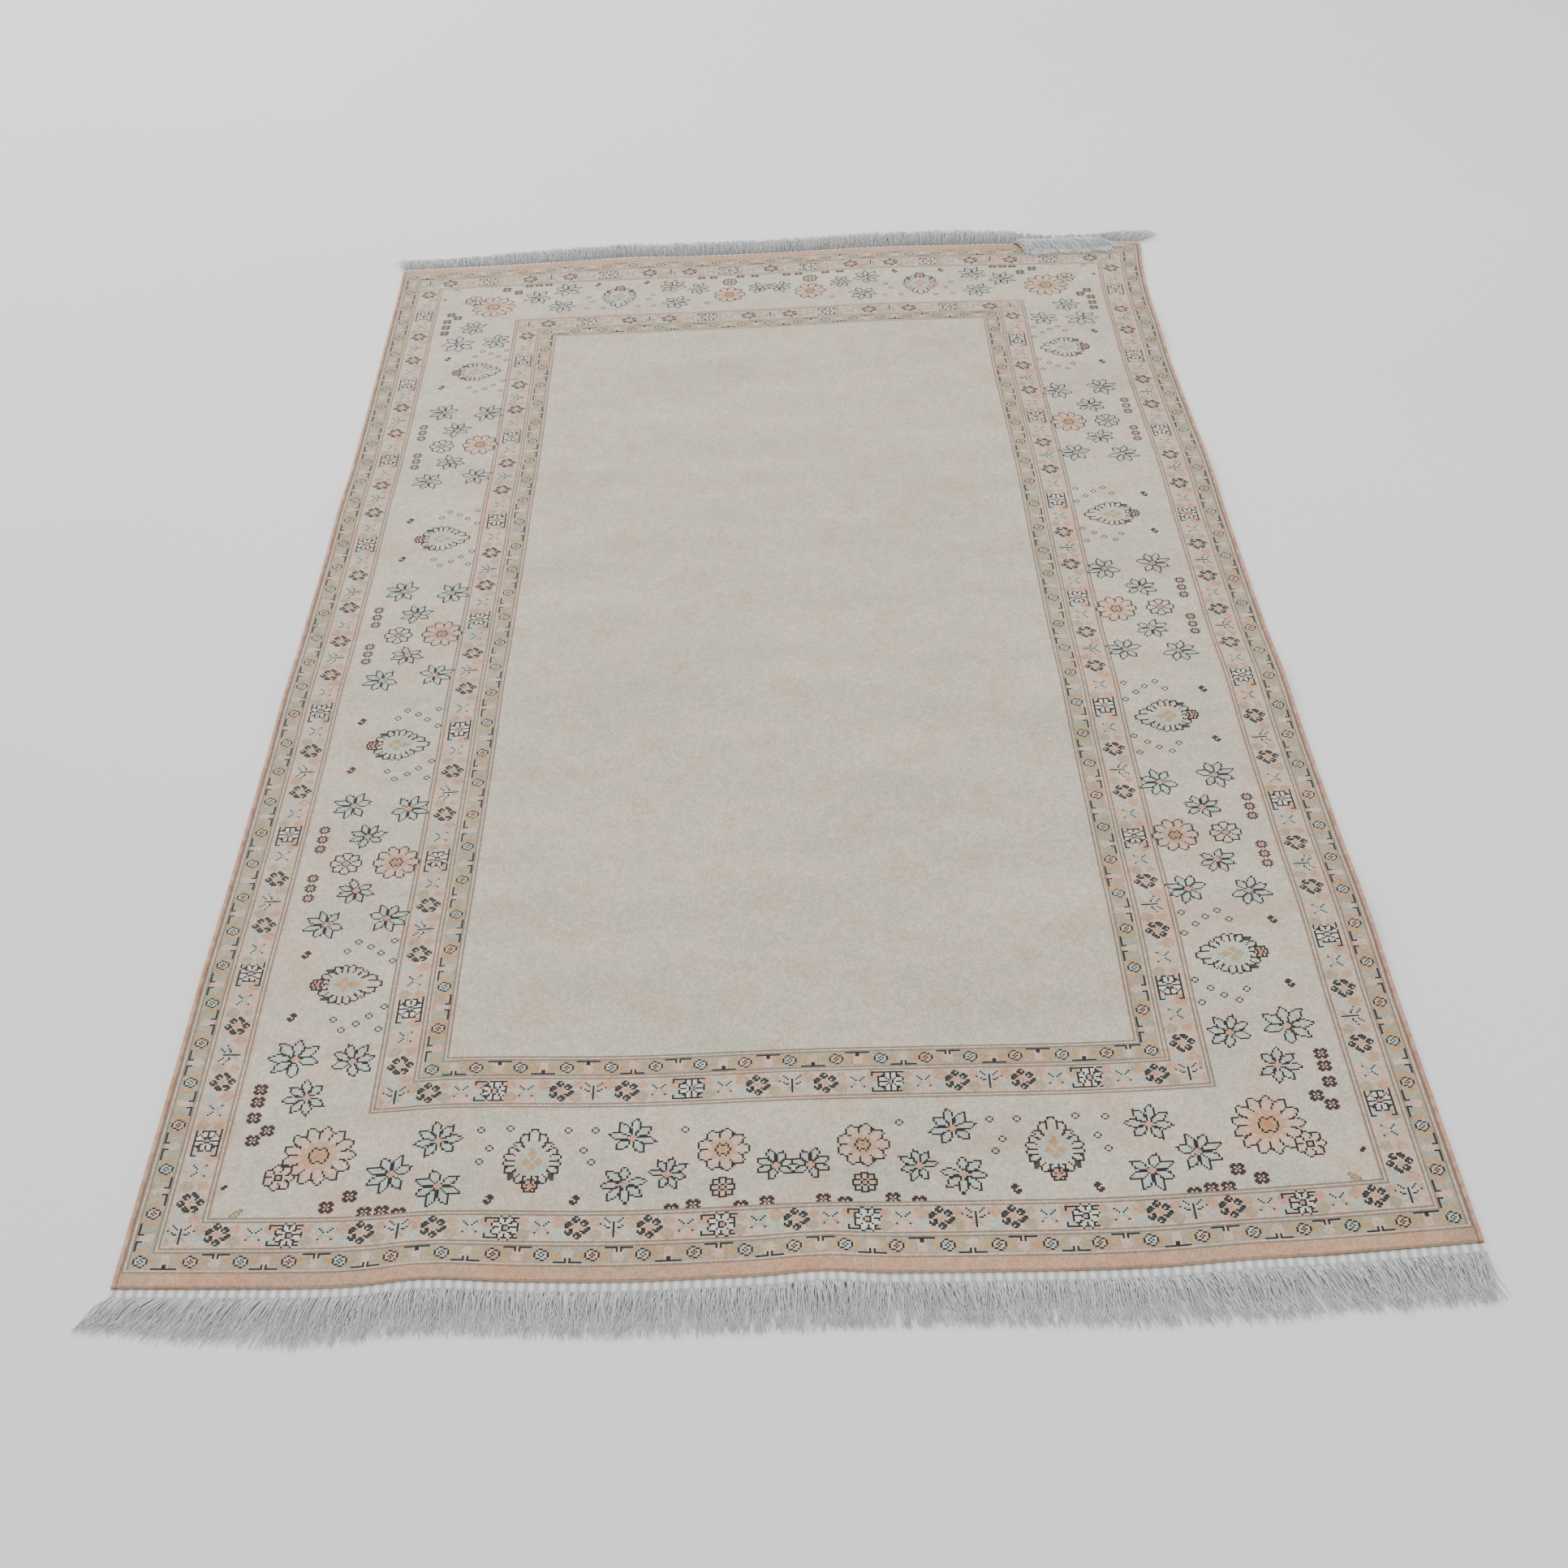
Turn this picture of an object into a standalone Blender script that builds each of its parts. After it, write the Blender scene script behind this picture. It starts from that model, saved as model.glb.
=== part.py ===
"""A hand-knotted silk rug of about 3 by 5 feet, lying on a floor with its fringes.

Frame: +Z up, the floor at z = 0, the origin under the middle of the woven rug.
+X runs across the rug to its right side and +Y along it to its far end.
The woven slab, the two overcast side cords and the two fringes are separate pieces.
"""

from bisect import bisect_right
from collections import namedtuple
from math import cos, pi, radians, sin
from random import Random

import bmesh
import bpy
import numpy as np
from mathutils import Vector

COLLECTION = "persian_rug"

WIDTH = 0.920            # over the two side cords
LENGTH = 1.520           # of the woven rug, without its fringes
PILE_THICKNESS = 0.0040  # foundation and pile together
GAP = 0.0003             # left between neighbouring pieces

CORD_RADIUS = 0.0021     # overcast cord along each side

SLAB_STEPS_ACROSS = 16
SLAB_STEPS_ALONG = 56

STRIP_WIDTH = 0.0075     # white woven end strip that holds the warp ends
STRIP_THICKNESS = 0.0024
LOCKS_PER_FRINGE = 104
LOCK_SPACING = 0.0010    # between the roots of neighbouring locks
LOCK_JITTER = 0.10       # share by which a lock's length and height vary
SEED = 11

# How far each side is drawn in, by the distance along the rug.
Side = namedtuple("Side", "along left right")
SIDES = [
    Side(-0.760, 0.0000, 0.0000),
    Side(-0.280, 0.0022, 0.0032),
    Side(-0.050, 0.0032, 0.0058),
    Side(0.280, 0.0052, 0.0072),
    Side(0.480, 0.0040, 0.0112),
    Side(0.610, 0.0030, 0.0102),
    Side(0.700, 0.0015, 0.0060),
    Side(0.760, 0.0000, 0.0000),
]

# How far each end bows out, by the distance across the rug.
End = namedtuple("End", "across near far")
ENDS = [
    End(-0.460, 0.0008, -0.0015),
    End(-0.380, 0.0040, 0.0010),
    End(-0.310, 0.0058, 0.0042),
    End(-0.250, 0.0030, 0.0070),
    End(-0.120, 0.0085, 0.0092),
    End(0.010, 0.0072, 0.0105),
    End(0.130, 0.0100, 0.0165),
    End(0.226, 0.0110, 0.0140),
    End(0.342, 0.0060, 0.0090),
    End(0.460, -0.0010, 0.0050),
]

# Soft ridges across the rug: crest place, slant of the crest, half width, and crest heights.
Ridge = namedtuple("Ridge", "along slant half_width left middle right")
RIDGES = [
    Ridge(-0.455, 0.03, 0.105, 0.0018, 0.0034, 0.0040),
    Ridge(-0.125, -0.02, 0.092, 0.0026, 0.0040, 0.0046),
    Ridge(0.215, 0.04, 0.100, 0.0036, 0.0028, 0.0034),
    Ridge(0.560, -0.05, 0.090, 0.0012, 0.0022, 0.0044),
]

# Small lifts of the two ends: place across, which end, half width, reach inward and height.
Lift = namedtuple("Lift", "across end half_width reach height")
LIFTS = [
    Lift(-0.245, -1, 0.055, 0.060, 0.0026),
    Lift(0.018, -1, 0.048, 0.070, 0.0036),
    Lift(0.300, -1, 0.060, 0.050, 0.0016),
    Lift(-0.180, 1, 0.080, 0.060, 0.0020),
]

# The near fringe: length of a lock and how far it leans to +X, by the distance across.
NearLock = namedtuple("NearLock", "across length lean")
NEAR_LOCKS = [
    NearLock(-0.460, 0.029, -0.80),
    NearLock(-0.420, 0.033, -0.70),
    NearLock(-0.360, 0.037, -0.45),
    NearLock(-0.310, 0.036, -0.22),
    NearLock(-0.220, 0.033, -0.06),
    NearLock(-0.120, 0.034, -0.08),
    NearLock(0.000, 0.034, -0.02),
    NearLock(0.130, 0.033, 0.10),
    NearLock(0.270, 0.037, 0.24),
    NearLock(0.380, 0.038, 0.34),
    NearLock(0.430, 0.037, 0.16),
    NearLock(0.460, 0.036, -0.06),
]

# The far fringe, which stands up in a soft roll: length, crest height and lean of a lock.
FarLock = namedtuple("FarLock", "across length crest lean")
FAR_LOCKS = [
    FarLock(-0.460, 0.030, 0.007, -0.45),
    FarLock(-0.400, 0.028, 0.006, -0.20),
    FarLock(-0.310, 0.034, 0.008, -0.05),
    FarLock(-0.200, 0.036, 0.010, -0.08),
    FarLock(-0.050, 0.034, 0.010, 0.02),
    FarLock(0.100, 0.035, 0.011, 0.05),
    FarLock(0.250, 0.034, 0.012, 0.10),
    FarLock(0.296, 0.028, 0.011, 0.30),
    FarLock(0.340, 0.014, 0.009, 0.45),
    FarLock(0.402, 0.018, 0.009, 0.75),
    FarLock(0.430, 0.030, 0.009, 0.95),
    FarLock(0.460, 0.034, 0.008, 1.05),
]
FOLDED_BACK = (0.302, 0.398)     # here the longer locks lie over the rug, before short ones
FOLDED_LENGTH = 0.046
FOLDED_HEADING = radians(-46)    # from +X towards the rug
FOLDED_CREST = 0.0098

# Stations of a lock: share of its length, share of its crest height, and half sizes.
Station = namedtuple("Station", "reach height half_width half_height")
NEAR_STATIONS = [
    Station(0.55, 0.0, 0.0022, 0.0009),
    Station(1.00, 0.0, 0.0010, 0.0005),
]
FAR_STATIONS = [
    Station(0.30, 0.75, 0.0024, 0.0014),
    Station(0.68, 1.00, 0.0019, 0.0012),
    Station(1.00, 0.08, 0.0010, 0.0006),
]
FOLDED_STATIONS = [
    Station(0.02, 0.62, 0.0020, 0.0019),
    Station(0.18, 1.00, 0.0017, 0.0011),
    Station(0.62, 0.92, 0.0016, 0.0010),
    Station(1.00, 0.74, 0.0009, 0.0006),
]

PILE_COLOUR = (0.62, 0.52, 0.40, 1.0)
CORD_COLOUR = (0.66, 0.42, 0.32, 1.0)
SILK_WHITE = (0.86, 0.87, 0.88, 1.0)


def read_table(rows, column, place):
    """One column of a table at a place along its first column, on a smooth curve."""
    keys = [row[0] for row in rows]
    values = [getattr(row, column) for row in rows]
    here = min(max(bisect_right(keys, place) - 1, 0), len(rows) - 2)
    span = keys[here + 1] - keys[here]
    t = min(max((place - keys[here]) / span, 0.0), 1.0)

    def slope(index):
        before, after = max(index - 1, 0), min(index + 1, len(rows) - 1)
        return (values[after] - values[before]) / (keys[after] - keys[before]) * span

    rise_in = (2 * t ** 3 - 3 * t ** 2 + 1) * values[here] + (t ** 3 - 2 * t ** 2 + t) * slope(here)
    rise_out = (3 * t ** 2 - 2 * t ** 3) * values[here + 1] + (t ** 3 - t ** 2) * slope(here + 1)
    return rise_in + rise_out


def bump(distance, half_width):
    """A soft hump that is 1 at its middle and exactly 0 beyond its half width."""
    if abs(distance) >= half_width:
        return 0.0
    return cos(distance / half_width * pi / 2) ** 2


def rise(x, y):
    """Height of the rug's underside over the floor."""
    share = x / WIDTH + 0.5
    height = 0.0
    for ridge in RIDGES:
        left, right = (1 - share) * ridge.left, share * ridge.right
        crest = left + right + 4 * share * (1 - share) * (ridge.middle - (ridge.left + ridge.right) / 2)
        height += crest * bump(y - ridge.along - ridge.slant * x, ridge.half_width)
    for lift in LIFTS:
        inward = LENGTH / 2 - lift.end * y
        height += lift.height * bump(x - lift.across, lift.half_width) * bump(inward, lift.reach)
    return height


def side_x(side, y):
    """Outer line of a side cord; side is -1 on the left and 1 on the right."""
    drawn_in = read_table(SIDES, "left" if side < 0 else "right", y)
    return side * (WIDTH / 2 - drawn_in)


def end_y(end, x):
    """Line where the weave ends; end is -1 at the near end and 1 at the far end."""
    return end * (LENGTH / 2 + read_table(ENDS, "near" if end < 0 else "far", x))


def slab_point(across, along):
    """Floor point of the slab, between its side cords, for shares 0 to 1 across and along."""
    inset = 2 * CORD_RADIUS + GAP
    x = (across - 0.5) * WIDTH
    near, far = end_y(-1, x), end_y(1, x)
    y = near + (far - near) * along
    left, right = side_x(-1, y) + inset, side_x(1, y) - inset
    return left + (right - left) * across, y


def slab_end(end, x):
    """The slab's end as built, in straight runs between its corner points."""
    along = 0.0 if end < 0 else 1.0
    points = [slab_point(step / SLAB_STEPS_ACROSS, along) for step in range(SLAB_STEPS_ACROSS + 1)]
    return float(np.interp(x, [point[0] for point in points], [point[1] for point in points]))


def plain_material(name, colour, roughness):
    material = bpy.data.materials.new(name)
    material.use_nodes = True
    shader = material.node_tree.nodes["Principled BSDF"]
    shader.inputs["Base Color"].default_value = colour
    shader.inputs["Roughness"].default_value = roughness
    shader.inputs["Metallic"].default_value = 0.0
    return material


def add_object(name, mesh, material, collection):
    piece = bpy.data.objects.new(name, mesh)
    mesh.materials.append(material)
    collection.objects.link(piece)
    return piece


def make_slab(collection, material):
    """The knotted slab: a grid on the underside, given its thickness upwards."""
    bm = bmesh.new()
    bmesh.ops.create_grid(bm, x_segments=SLAB_STEPS_ACROSS, y_segments=SLAB_STEPS_ALONG, size=0.5)
    for vert in bm.verts:
        x, y = slab_point(vert.co.x + 0.5, vert.co.y + 0.5)
        vert.co = (x, y, rise(x, y))
    under = bm.faces[:]
    top = bmesh.ops.extrude_face_region(bm, geom=under, use_keep_orig=True)
    for item in top["geom"]:
        if isinstance(item, bmesh.types.BMVert):
            item.co.z += PILE_THICKNESS
    bmesh.ops.recalc_face_normals(bm, faces=bm.faces)
    mesh = bpy.data.meshes.new("rug_body")
    bm.to_mesh(mesh)
    bm.free()
    mesh.shade_smooth()
    mesh.set_sharp_from_angle(angle=radians(40))
    return add_object("rug_body", mesh, material, collection)


def make_side_cord(name, side, collection, material):
    """An overcast edge cord, lying along one side and following the rug's ridges."""
    curve = bpy.data.curves.new(name, "CURVE")
    curve.dimensions = "3D"
    curve.twist_mode = "Z_UP"
    curve.bevel_depth = CORD_RADIUS
    curve.bevel_resolution = 1
    curve.use_fill_caps = True
    spline = curve.splines.new("POLY")
    spline.points.add(SLAB_STEPS_ALONG)
    for step, point in enumerate(spline.points):
        x, y = slab_point(0.0 if side < 0 else 1.0, step / SLAB_STEPS_ALONG)
        x += side * (GAP + CORD_RADIUS)
        point.co = (x, y, rise(x, y) + CORD_RADIUS, 1.0)
    cord = bpy.data.objects.new(name, curve)
    curve.materials.append(material)
    collection.objects.link(cord)
    return cord


def strip_lines():
    """Places across the strip where its cells meet: gap, lock, gap and so on to the last gap."""
    left, right = -WIDTH / 2, WIDTH / 2
    pitch = (right - left - LOCK_SPACING) / LOCKS_PER_FRINGE
    lines = [left]
    for lock in range(LOCKS_PER_FRINGE):
        lines.append(left + lock * pitch + LOCK_SPACING)
        lines.append(left + (lock + 1) * pitch)
    lines.append(right)
    return lines


def make_strip(end):
    """The end strip as a bmesh, with its cells ready for the locks."""
    lines = strip_lines()
    cells = len(lines) - 1
    bm = bmesh.new()
    bmesh.ops.create_grid(bm, x_segments=cells, y_segments=1, size=0.5)
    for vert in bm.verts:
        x = lines[round((vert.co.x + 0.5) * cells)]
        outward = (vert.co.y + 0.5) * STRIP_WIDTH
        if end < 0:
            outward = STRIP_WIDTH - outward
        vert.co = (x, slab_end(end, x) + end * (GAP + outward), rise(x, end * LENGTH / 2))
    top = bmesh.ops.extrude_face_region(bm, geom=bm.faces[:], use_keep_orig=True)
    for item in top["geom"]:
        if isinstance(item, bmesh.types.BMVert):
            item.co.z += STRIP_THICKNESS
    bmesh.ops.recalc_face_normals(bm, faces=bm.faces)
    bm.normal_update()
    return bm


def lock_cells(bm, end, upward):
    """The strip's small faces that a lock grows from, on its top or on its outer side."""
    narrowest = 3 * LOCK_SPACING
    chosen = []
    for face in bm.faces:
        xs = [vert.co.x for vert in face.verts]
        if max(xs) - min(xs) < narrowest:
            continue
        if face.normal.z > 0.5 if upward else face.normal.y * end > 0.5:
            chosen.append(face)
    return sorted(chosen, key=lambda face: face.calc_center_median().x)


def grow_lock(bm, face, heading, upward, length, crest, stations):
    """Extrude one cell of the strip into a tapering lock along its heading.

    Each station is a small rectangle square to the lock's path, which lies in
    the upright plane of the heading.
    """
    root = face.calc_center_median()
    outside = Vector((0.0, -heading.y, 0.0)) if upward else Vector((0.0, 0.0, 1.0))
    side = Vector((heading.y, -heading.x, 0.0))
    if side.x < 0:
        side.negate()
    path = [(0.0, root.z)]
    for station in stations:
        path.append((station.reach * length, max(crest * station.height, station.half_height)))
    signs = {}
    for vert in face.verts:
        offset = vert.co - root
        signs[tuple(vert.co)] = (1 if offset.x > 0 else -1, 1 if offset.dot(outside) > 0 else -1)
    for step, station in enumerate(stations, start=1):
        before, after = path[step - 1], path[min(step + 1, len(path) - 1)]
        along = Vector((after[0] - before[0], after[1] - before[1])).normalized()
        new_face = bmesh.ops.extrude_discrete_faces(bm, faces=[face])["faces"][0]
        centre = root + heading * path[step][0]
        centre.z = path[step][1]
        upright = Vector((-heading.x * along.y, -heading.y * along.y, along.x))
        placed = {}
        for vert in new_face.verts:
            across, over = signs[tuple(vert.co)]
            vert.co = centre + side * across * station.half_width + upright * over * station.half_height
            vert.co.z = max(vert.co.z, 0.0)
            placed[tuple(vert.co)] = (across, over)
        signs, face = placed, new_face


def make_fringe(name, end, collection, material):
    """A fringe: the end strip with its locks, as one body."""
    chance = Random(SEED + end)
    bm = make_strip(end)
    outer, upper = lock_cells(bm, end, False), lock_cells(bm, end, True)
    for outer_face, upper_face in zip(outer, upper):
        x = outer_face.calc_center_median().x
        vary = 1 + chance.uniform(-LOCK_JITTER, LOCK_JITTER)
        if end > 0 and FOLDED_BACK[0] < x < FOLDED_BACK[1]:
            heading = Vector((cos(FOLDED_HEADING), sin(FOLDED_HEADING), 0.0))
            length = FOLDED_LENGTH * vary
            grow_lock(bm, upper_face, heading, True, length, FOLDED_CREST, FOLDED_STATIONS)
        table = NEAR_LOCKS if end < 0 else FAR_LOCKS
        lean = read_table(table, "lean", x) + chance.uniform(-0.04, 0.04)
        heading = Vector((lean, end, 0.0)).normalized()
        length = read_table(table, "length", x) * vary
        if end < 0:
            grow_lock(bm, outer_face, heading, False, length, 0.0, NEAR_STATIONS)
        else:
            crest = read_table(table, "crest", x) * vary
            grow_lock(bm, outer_face, heading, False, length, crest, FAR_STATIONS)
    bmesh.ops.recalc_face_normals(bm, faces=bm.faces)
    mesh = bpy.data.meshes.new(name)
    bm.to_mesh(mesh)
    bm.free()
    return add_object(name, mesh, material, collection)


def main():
    for thing in list(bpy.data.objects):
        bpy.data.objects.remove(thing, do_unlink=True)
    collection = bpy.data.collections.new(COLLECTION)
    bpy.context.scene.collection.children.link(collection)
    silk_pile = plain_material("silk_pile", PILE_COLOUR, 0.6)
    peach_silk = plain_material("overcast_peach_silk", CORD_COLOUR, 0.6)
    white_silk = plain_material("white_silk_warp", SILK_WHITE, 0.5)
    make_slab(collection, silk_pile)
    make_side_cord("side_cord_left", -1, collection, peach_silk)
    make_side_cord("side_cord_right", 1, collection, peach_silk)
    make_fringe("fringe_near", -1, collection, white_silk)
    make_fringe("fringe_far", 1, collection, white_silk)


main()
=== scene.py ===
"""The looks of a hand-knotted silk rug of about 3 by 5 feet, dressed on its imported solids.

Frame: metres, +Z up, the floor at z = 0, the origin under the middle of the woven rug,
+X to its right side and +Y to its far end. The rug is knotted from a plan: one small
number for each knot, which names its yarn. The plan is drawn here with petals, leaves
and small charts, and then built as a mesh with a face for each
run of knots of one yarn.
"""

from collections import namedtuple
from math import atan2, ceil, cos, degrees, hypot, pi, radians, sin

import bpy
import numpy as np
from mathutils import Matrix, Vector


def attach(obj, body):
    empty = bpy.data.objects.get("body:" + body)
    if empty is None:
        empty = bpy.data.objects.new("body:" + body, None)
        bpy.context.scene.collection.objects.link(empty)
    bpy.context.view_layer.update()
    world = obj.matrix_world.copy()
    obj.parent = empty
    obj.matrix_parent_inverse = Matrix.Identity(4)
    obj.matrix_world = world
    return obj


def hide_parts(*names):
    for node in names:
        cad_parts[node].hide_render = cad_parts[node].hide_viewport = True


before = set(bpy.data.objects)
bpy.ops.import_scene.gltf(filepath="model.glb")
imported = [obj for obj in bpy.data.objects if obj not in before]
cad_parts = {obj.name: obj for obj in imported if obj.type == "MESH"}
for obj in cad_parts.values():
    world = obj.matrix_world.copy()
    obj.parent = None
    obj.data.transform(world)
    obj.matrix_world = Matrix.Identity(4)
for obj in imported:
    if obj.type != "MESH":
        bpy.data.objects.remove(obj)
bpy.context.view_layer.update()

# Camera, as in the photograph of 1932 by 1932 pixels
PHOTO_PIXELS = 1932
FOCAL_PIXELS = 2480
SENSOR_MM = 36.0
CAMERA_PLACE = (0.01481, -1.58361, 1.11442)
CAMERA_PITCH = radians(40.023)    # down from level
CAMERA_YAW = radians(-0.645)
CAMERA_ROLL = radians(-2.393)


def make_camera():
    """The photograph's camera: where it stood, where it looked and how it was tilted."""
    forward = Vector((sin(CAMERA_YAW) * cos(CAMERA_PITCH), cos(CAMERA_YAW) * cos(CAMERA_PITCH),
                      -sin(CAMERA_PITCH)))
    level = forward.cross(Vector((0.0, 0.0, 1.0))).normalized()
    upright = level.cross(forward)
    right = cos(CAMERA_ROLL) * level + sin(CAMERA_ROLL) * upright
    up = -sin(CAMERA_ROLL) * level + cos(CAMERA_ROLL) * upright
    data = bpy.data.cameras.new("camera")
    data.sensor_width = SENSOR_MM
    data.lens = FOCAL_PIXELS / PHOTO_PIXELS * SENSOR_MM
    data.clip_start, data.clip_end = 0.05, 50.0
    camera = bpy.data.objects.new("camera", data)
    turn = Matrix((right, up, -forward)).transposed().to_4x4()
    camera.matrix_world = Matrix.Translation(CAMERA_PLACE) @ turn
    bpy.context.scene.collection.objects.link(camera)
    bpy.context.scene.camera = camera


# The rug's own sizes, as in the part's source
WIDTH = 0.920            # over the two side cords
LENGTH = 1.520           # of the woven rug, without its fringes
PILE_THICKNESS = 0.0040  # foundation and pile together
GAP = 0.0003
CORD_RADIUS = 0.0021
STRIP_WIDTH = 0.0075
STRIP_THICKNESS = 0.0024

Side = namedtuple("Side", "along left right")
SIDES = [
    Side(-0.760, 0.0000, 0.0000),
    Side(-0.280, 0.0022, 0.0032),
    Side(-0.050, 0.0032, 0.0058),
    Side(0.280, 0.0052, 0.0072),
    Side(0.480, 0.0040, 0.0112),
    Side(0.610, 0.0030, 0.0102),
    Side(0.700, 0.0015, 0.0060),
    Side(0.760, 0.0000, 0.0000),
]
End = namedtuple("End", "across near far")
ENDS = [
    End(-0.460, 0.0008, -0.0015),
    End(-0.380, 0.0040, 0.0010),
    End(-0.310, 0.0058, 0.0042),
    End(-0.250, 0.0030, 0.0070),
    End(-0.120, 0.0085, 0.0092),
    End(0.010, 0.0072, 0.0105),
    End(0.130, 0.0100, 0.0165),
    End(0.226, 0.0110, 0.0140),
    End(0.342, 0.0060, 0.0090),
    End(0.460, -0.0010, 0.0050),
]
Ridge = namedtuple("Ridge", "along slant half_width left middle right")
RIDGES = [
    Ridge(-0.455, 0.03, 0.105, 0.0018, 0.0034, 0.0040),
    Ridge(-0.125, -0.02, 0.092, 0.0026, 0.0040, 0.0046),
    Ridge(0.215, 0.04, 0.100, 0.0036, 0.0028, 0.0034),
    Ridge(0.560, -0.05, 0.090, 0.0012, 0.0022, 0.0044),
]
Lift = namedtuple("Lift", "across end half_width reach height")
LIFTS = [
    Lift(-0.245, -1, 0.055, 0.060, 0.0026),
    Lift(0.018, -1, 0.048, 0.070, 0.0036),
    Lift(0.300, -1, 0.060, 0.050, 0.0016),
    Lift(-0.180, 1, 0.080, 0.060, 0.0020),
]


def read_table(rows, column, place):
    """A column of a table at places along its first column, on a smooth curve."""
    keys = np.array([row[0] for row in rows])
    values = np.array([getattr(row, column) for row in rows])
    before, after = np.maximum(np.arange(len(rows)) - 1, 0), np.minimum(np.arange(len(rows)) + 1, len(rows) - 1)
    slopes = (values[after] - values[before]) / (keys[after] - keys[before])
    here = np.clip(np.searchsorted(keys, place, side="right") - 1, 0, len(rows) - 2)
    span = keys[here + 1] - keys[here]
    t = np.clip((place - keys[here]) / span, 0.0, 1.0)
    rise_in = (2 * t ** 3 - 3 * t ** 2 + 1) * values[here] + (t ** 3 - 2 * t ** 2 + t) * slopes[here] * span
    rise_out = (3 * t ** 2 - 2 * t ** 3) * values[here + 1] + (t ** 3 - t ** 2) * slopes[here + 1] * span
    return rise_in + rise_out


def bump(distance, half_width):
    """A soft hump that is 1 at its middle and exactly 0 beyond its half width."""
    return np.where(np.abs(distance) < half_width, np.cos(distance / half_width * pi / 2) ** 2, 0.0)


def rise(x, y):
    """Height of the rug's underside over the floor."""
    share = x / WIDTH + 0.5
    height = np.zeros(np.broadcast(x, y).shape)
    for ridge in RIDGES:
        ends = (1 - share) * ridge.left + share * ridge.right
        crest = ends + 4 * share * (1 - share) * (ridge.middle - (ridge.left + ridge.right) / 2)
        height = height + crest * bump(y - ridge.along - ridge.slant * x, ridge.half_width)
    for lift in LIFTS:
        inward = LENGTH / 2 - lift.end * y
        height = height + lift.height * bump(x - lift.across, lift.half_width) * bump(inward, lift.reach)
    return height


def side_x(side, y):
    """Outer line of a side cord; side is -1 on the left and 1 on the right."""
    return side * (WIDTH / 2 - read_table(SIDES, "left" if side < 0 else "right", y))


def end_y(end, x):
    """Line where the weave ends; end is -1 at the near end and 1 at the far end."""
    return end * (LENGTH / 2 + read_table(ENDS, "near" if end < 0 else "far", x))


def slab_point(across, along):
    """Floor point of the woven rug, between its side cords, for shares 0 to 1 across and along."""
    inset = 2 * CORD_RADIUS + GAP
    x = (across - 0.5) * WIDTH
    near, far = end_y(-1, x), end_y(1, x)
    y = near + (far - near) * along
    left, right = side_x(-1, y) + inset, side_x(1, y) - inset
    return left + (right - left) * across, y


# The knot plan
KNOT = 0.0015            # a knot's size along and across the rug
COLUMNS, ROWS = 608, 1014
Area = namedtuple("Area", "left right low high")
WHOLE = Area(0, COLUMNS, 0, ROWS)

# The dyed silks, by the letter that small charts use
Silk = namedtuple("Silk", "letter name dye")
SILKS = [
    Silk("i", "ivory", "#D8CDBB"),
    Silk("e", "pearl", "#E4E0D6"),
    Silk("m", "mist", "#C3C8BE"),
    Silk("s", "sage", "#AEB0A0"),
    Silk("k", "khaki", "#B9A88C"),
    Silk("t", "taupe", "#8F8272"),
    Silk("p", "peach", "#D3A78A"),
    Silk("b", "blush", "#DDBFAA"),
    Silk("a", "salmon", "#C58A6B"),
    Silk("g", "gold", "#C7A377"),
    Silk("r", "rust", "#9A5238"),
    Silk("w", "maroon", "#3B1B16"),
    Silk("n", "slate", "#35403F"),
    Silk("x", "ink", "#12100F"),
]
SILK = {silk.name: number for number, silk in enumerate(SILKS)}
LETTER = {silk.letter: number for number, silk in enumerate(SILKS)}

plan = np.zeros((ROWS, COLUMNS), np.uint8)


def paint(area, u, v, reach, inside, fill=None, edge=None):
    """Knot a shape round (u, v), kept within an area, with its rim in another silk."""
    left, low, span = int(u - reach), int(v - reach), int(2 * reach) + 2
    across, along = np.meshgrid(np.arange(left, left + span) + 0.5 - u, np.arange(low, low + span) + 0.5 - v)
    held = np.pad(inside(across, along), 1)
    core = held[2:, 1:-1] & held[:-2, 1:-1] & held[1:-1, 2:] & held[1:-1, :-2]
    held = held[1:-1, 1:-1]
    first_u, last_u = max(area.left - left, 0), min(area.right - left, span)
    first_v, last_v = max(area.low - low, 0), min(area.high - low, span)
    if first_u >= last_u or first_v >= last_v:
        return
    cut = (slice(first_v, last_v), slice(first_u, last_u))
    patch = plan[low + first_v:low + last_v, left + first_u:left + last_u]
    if fill:
        patch[held[cut]] = SILK[fill]
    if edge:
        patch[(held & ~core)[cut]] = SILK[edge]


def turned(across, along, heading):
    """Distances ahead along a heading in degrees from +u, and aside from it."""
    c, s = cos(radians(heading)), sin(radians(heading))
    return across * c + along * s, along * c - across * s


def step_from(u, v, heading, distance):
    return u + distance * cos(radians(heading)), v + distance * sin(radians(heading))


def disc(area, u, v, radius, fill=None, edge=None, lobes=0, depth=0.0, turn=0.0):
    """A round, with lobes if asked, such as a rosette's scalloped outline."""
    def inside(across, along):
        rim = radius
        if lobes:
            angle = np.arctan2(along, across) - radians(turn)
            rim = radius * (1 - depth + depth * np.abs(np.cos(lobes * angle / 2)))
        return np.hypot(across, along) <= rim
    paint(area, u, v, radius + 2, inside, fill, edge)


def petal(area, u, v, heading, length, width, fill=None, edge=None, belly=0.5):
    """A pointed petal or leaf from its root at (u, v), widest at a share of its length."""
    power = np.log(0.5) / np.log(belly)

    def inside(across, along):
        ahead, aside = turned(across, along, heading)
        share = np.clip(ahead / length, 0.0, 1.0)
        return (ahead >= 0) & (ahead <= length) & (np.abs(aside) <= width / 2 * np.sin(pi * share ** power))
    paint(area, u, v, length + 2, inside, fill, edge)


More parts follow.
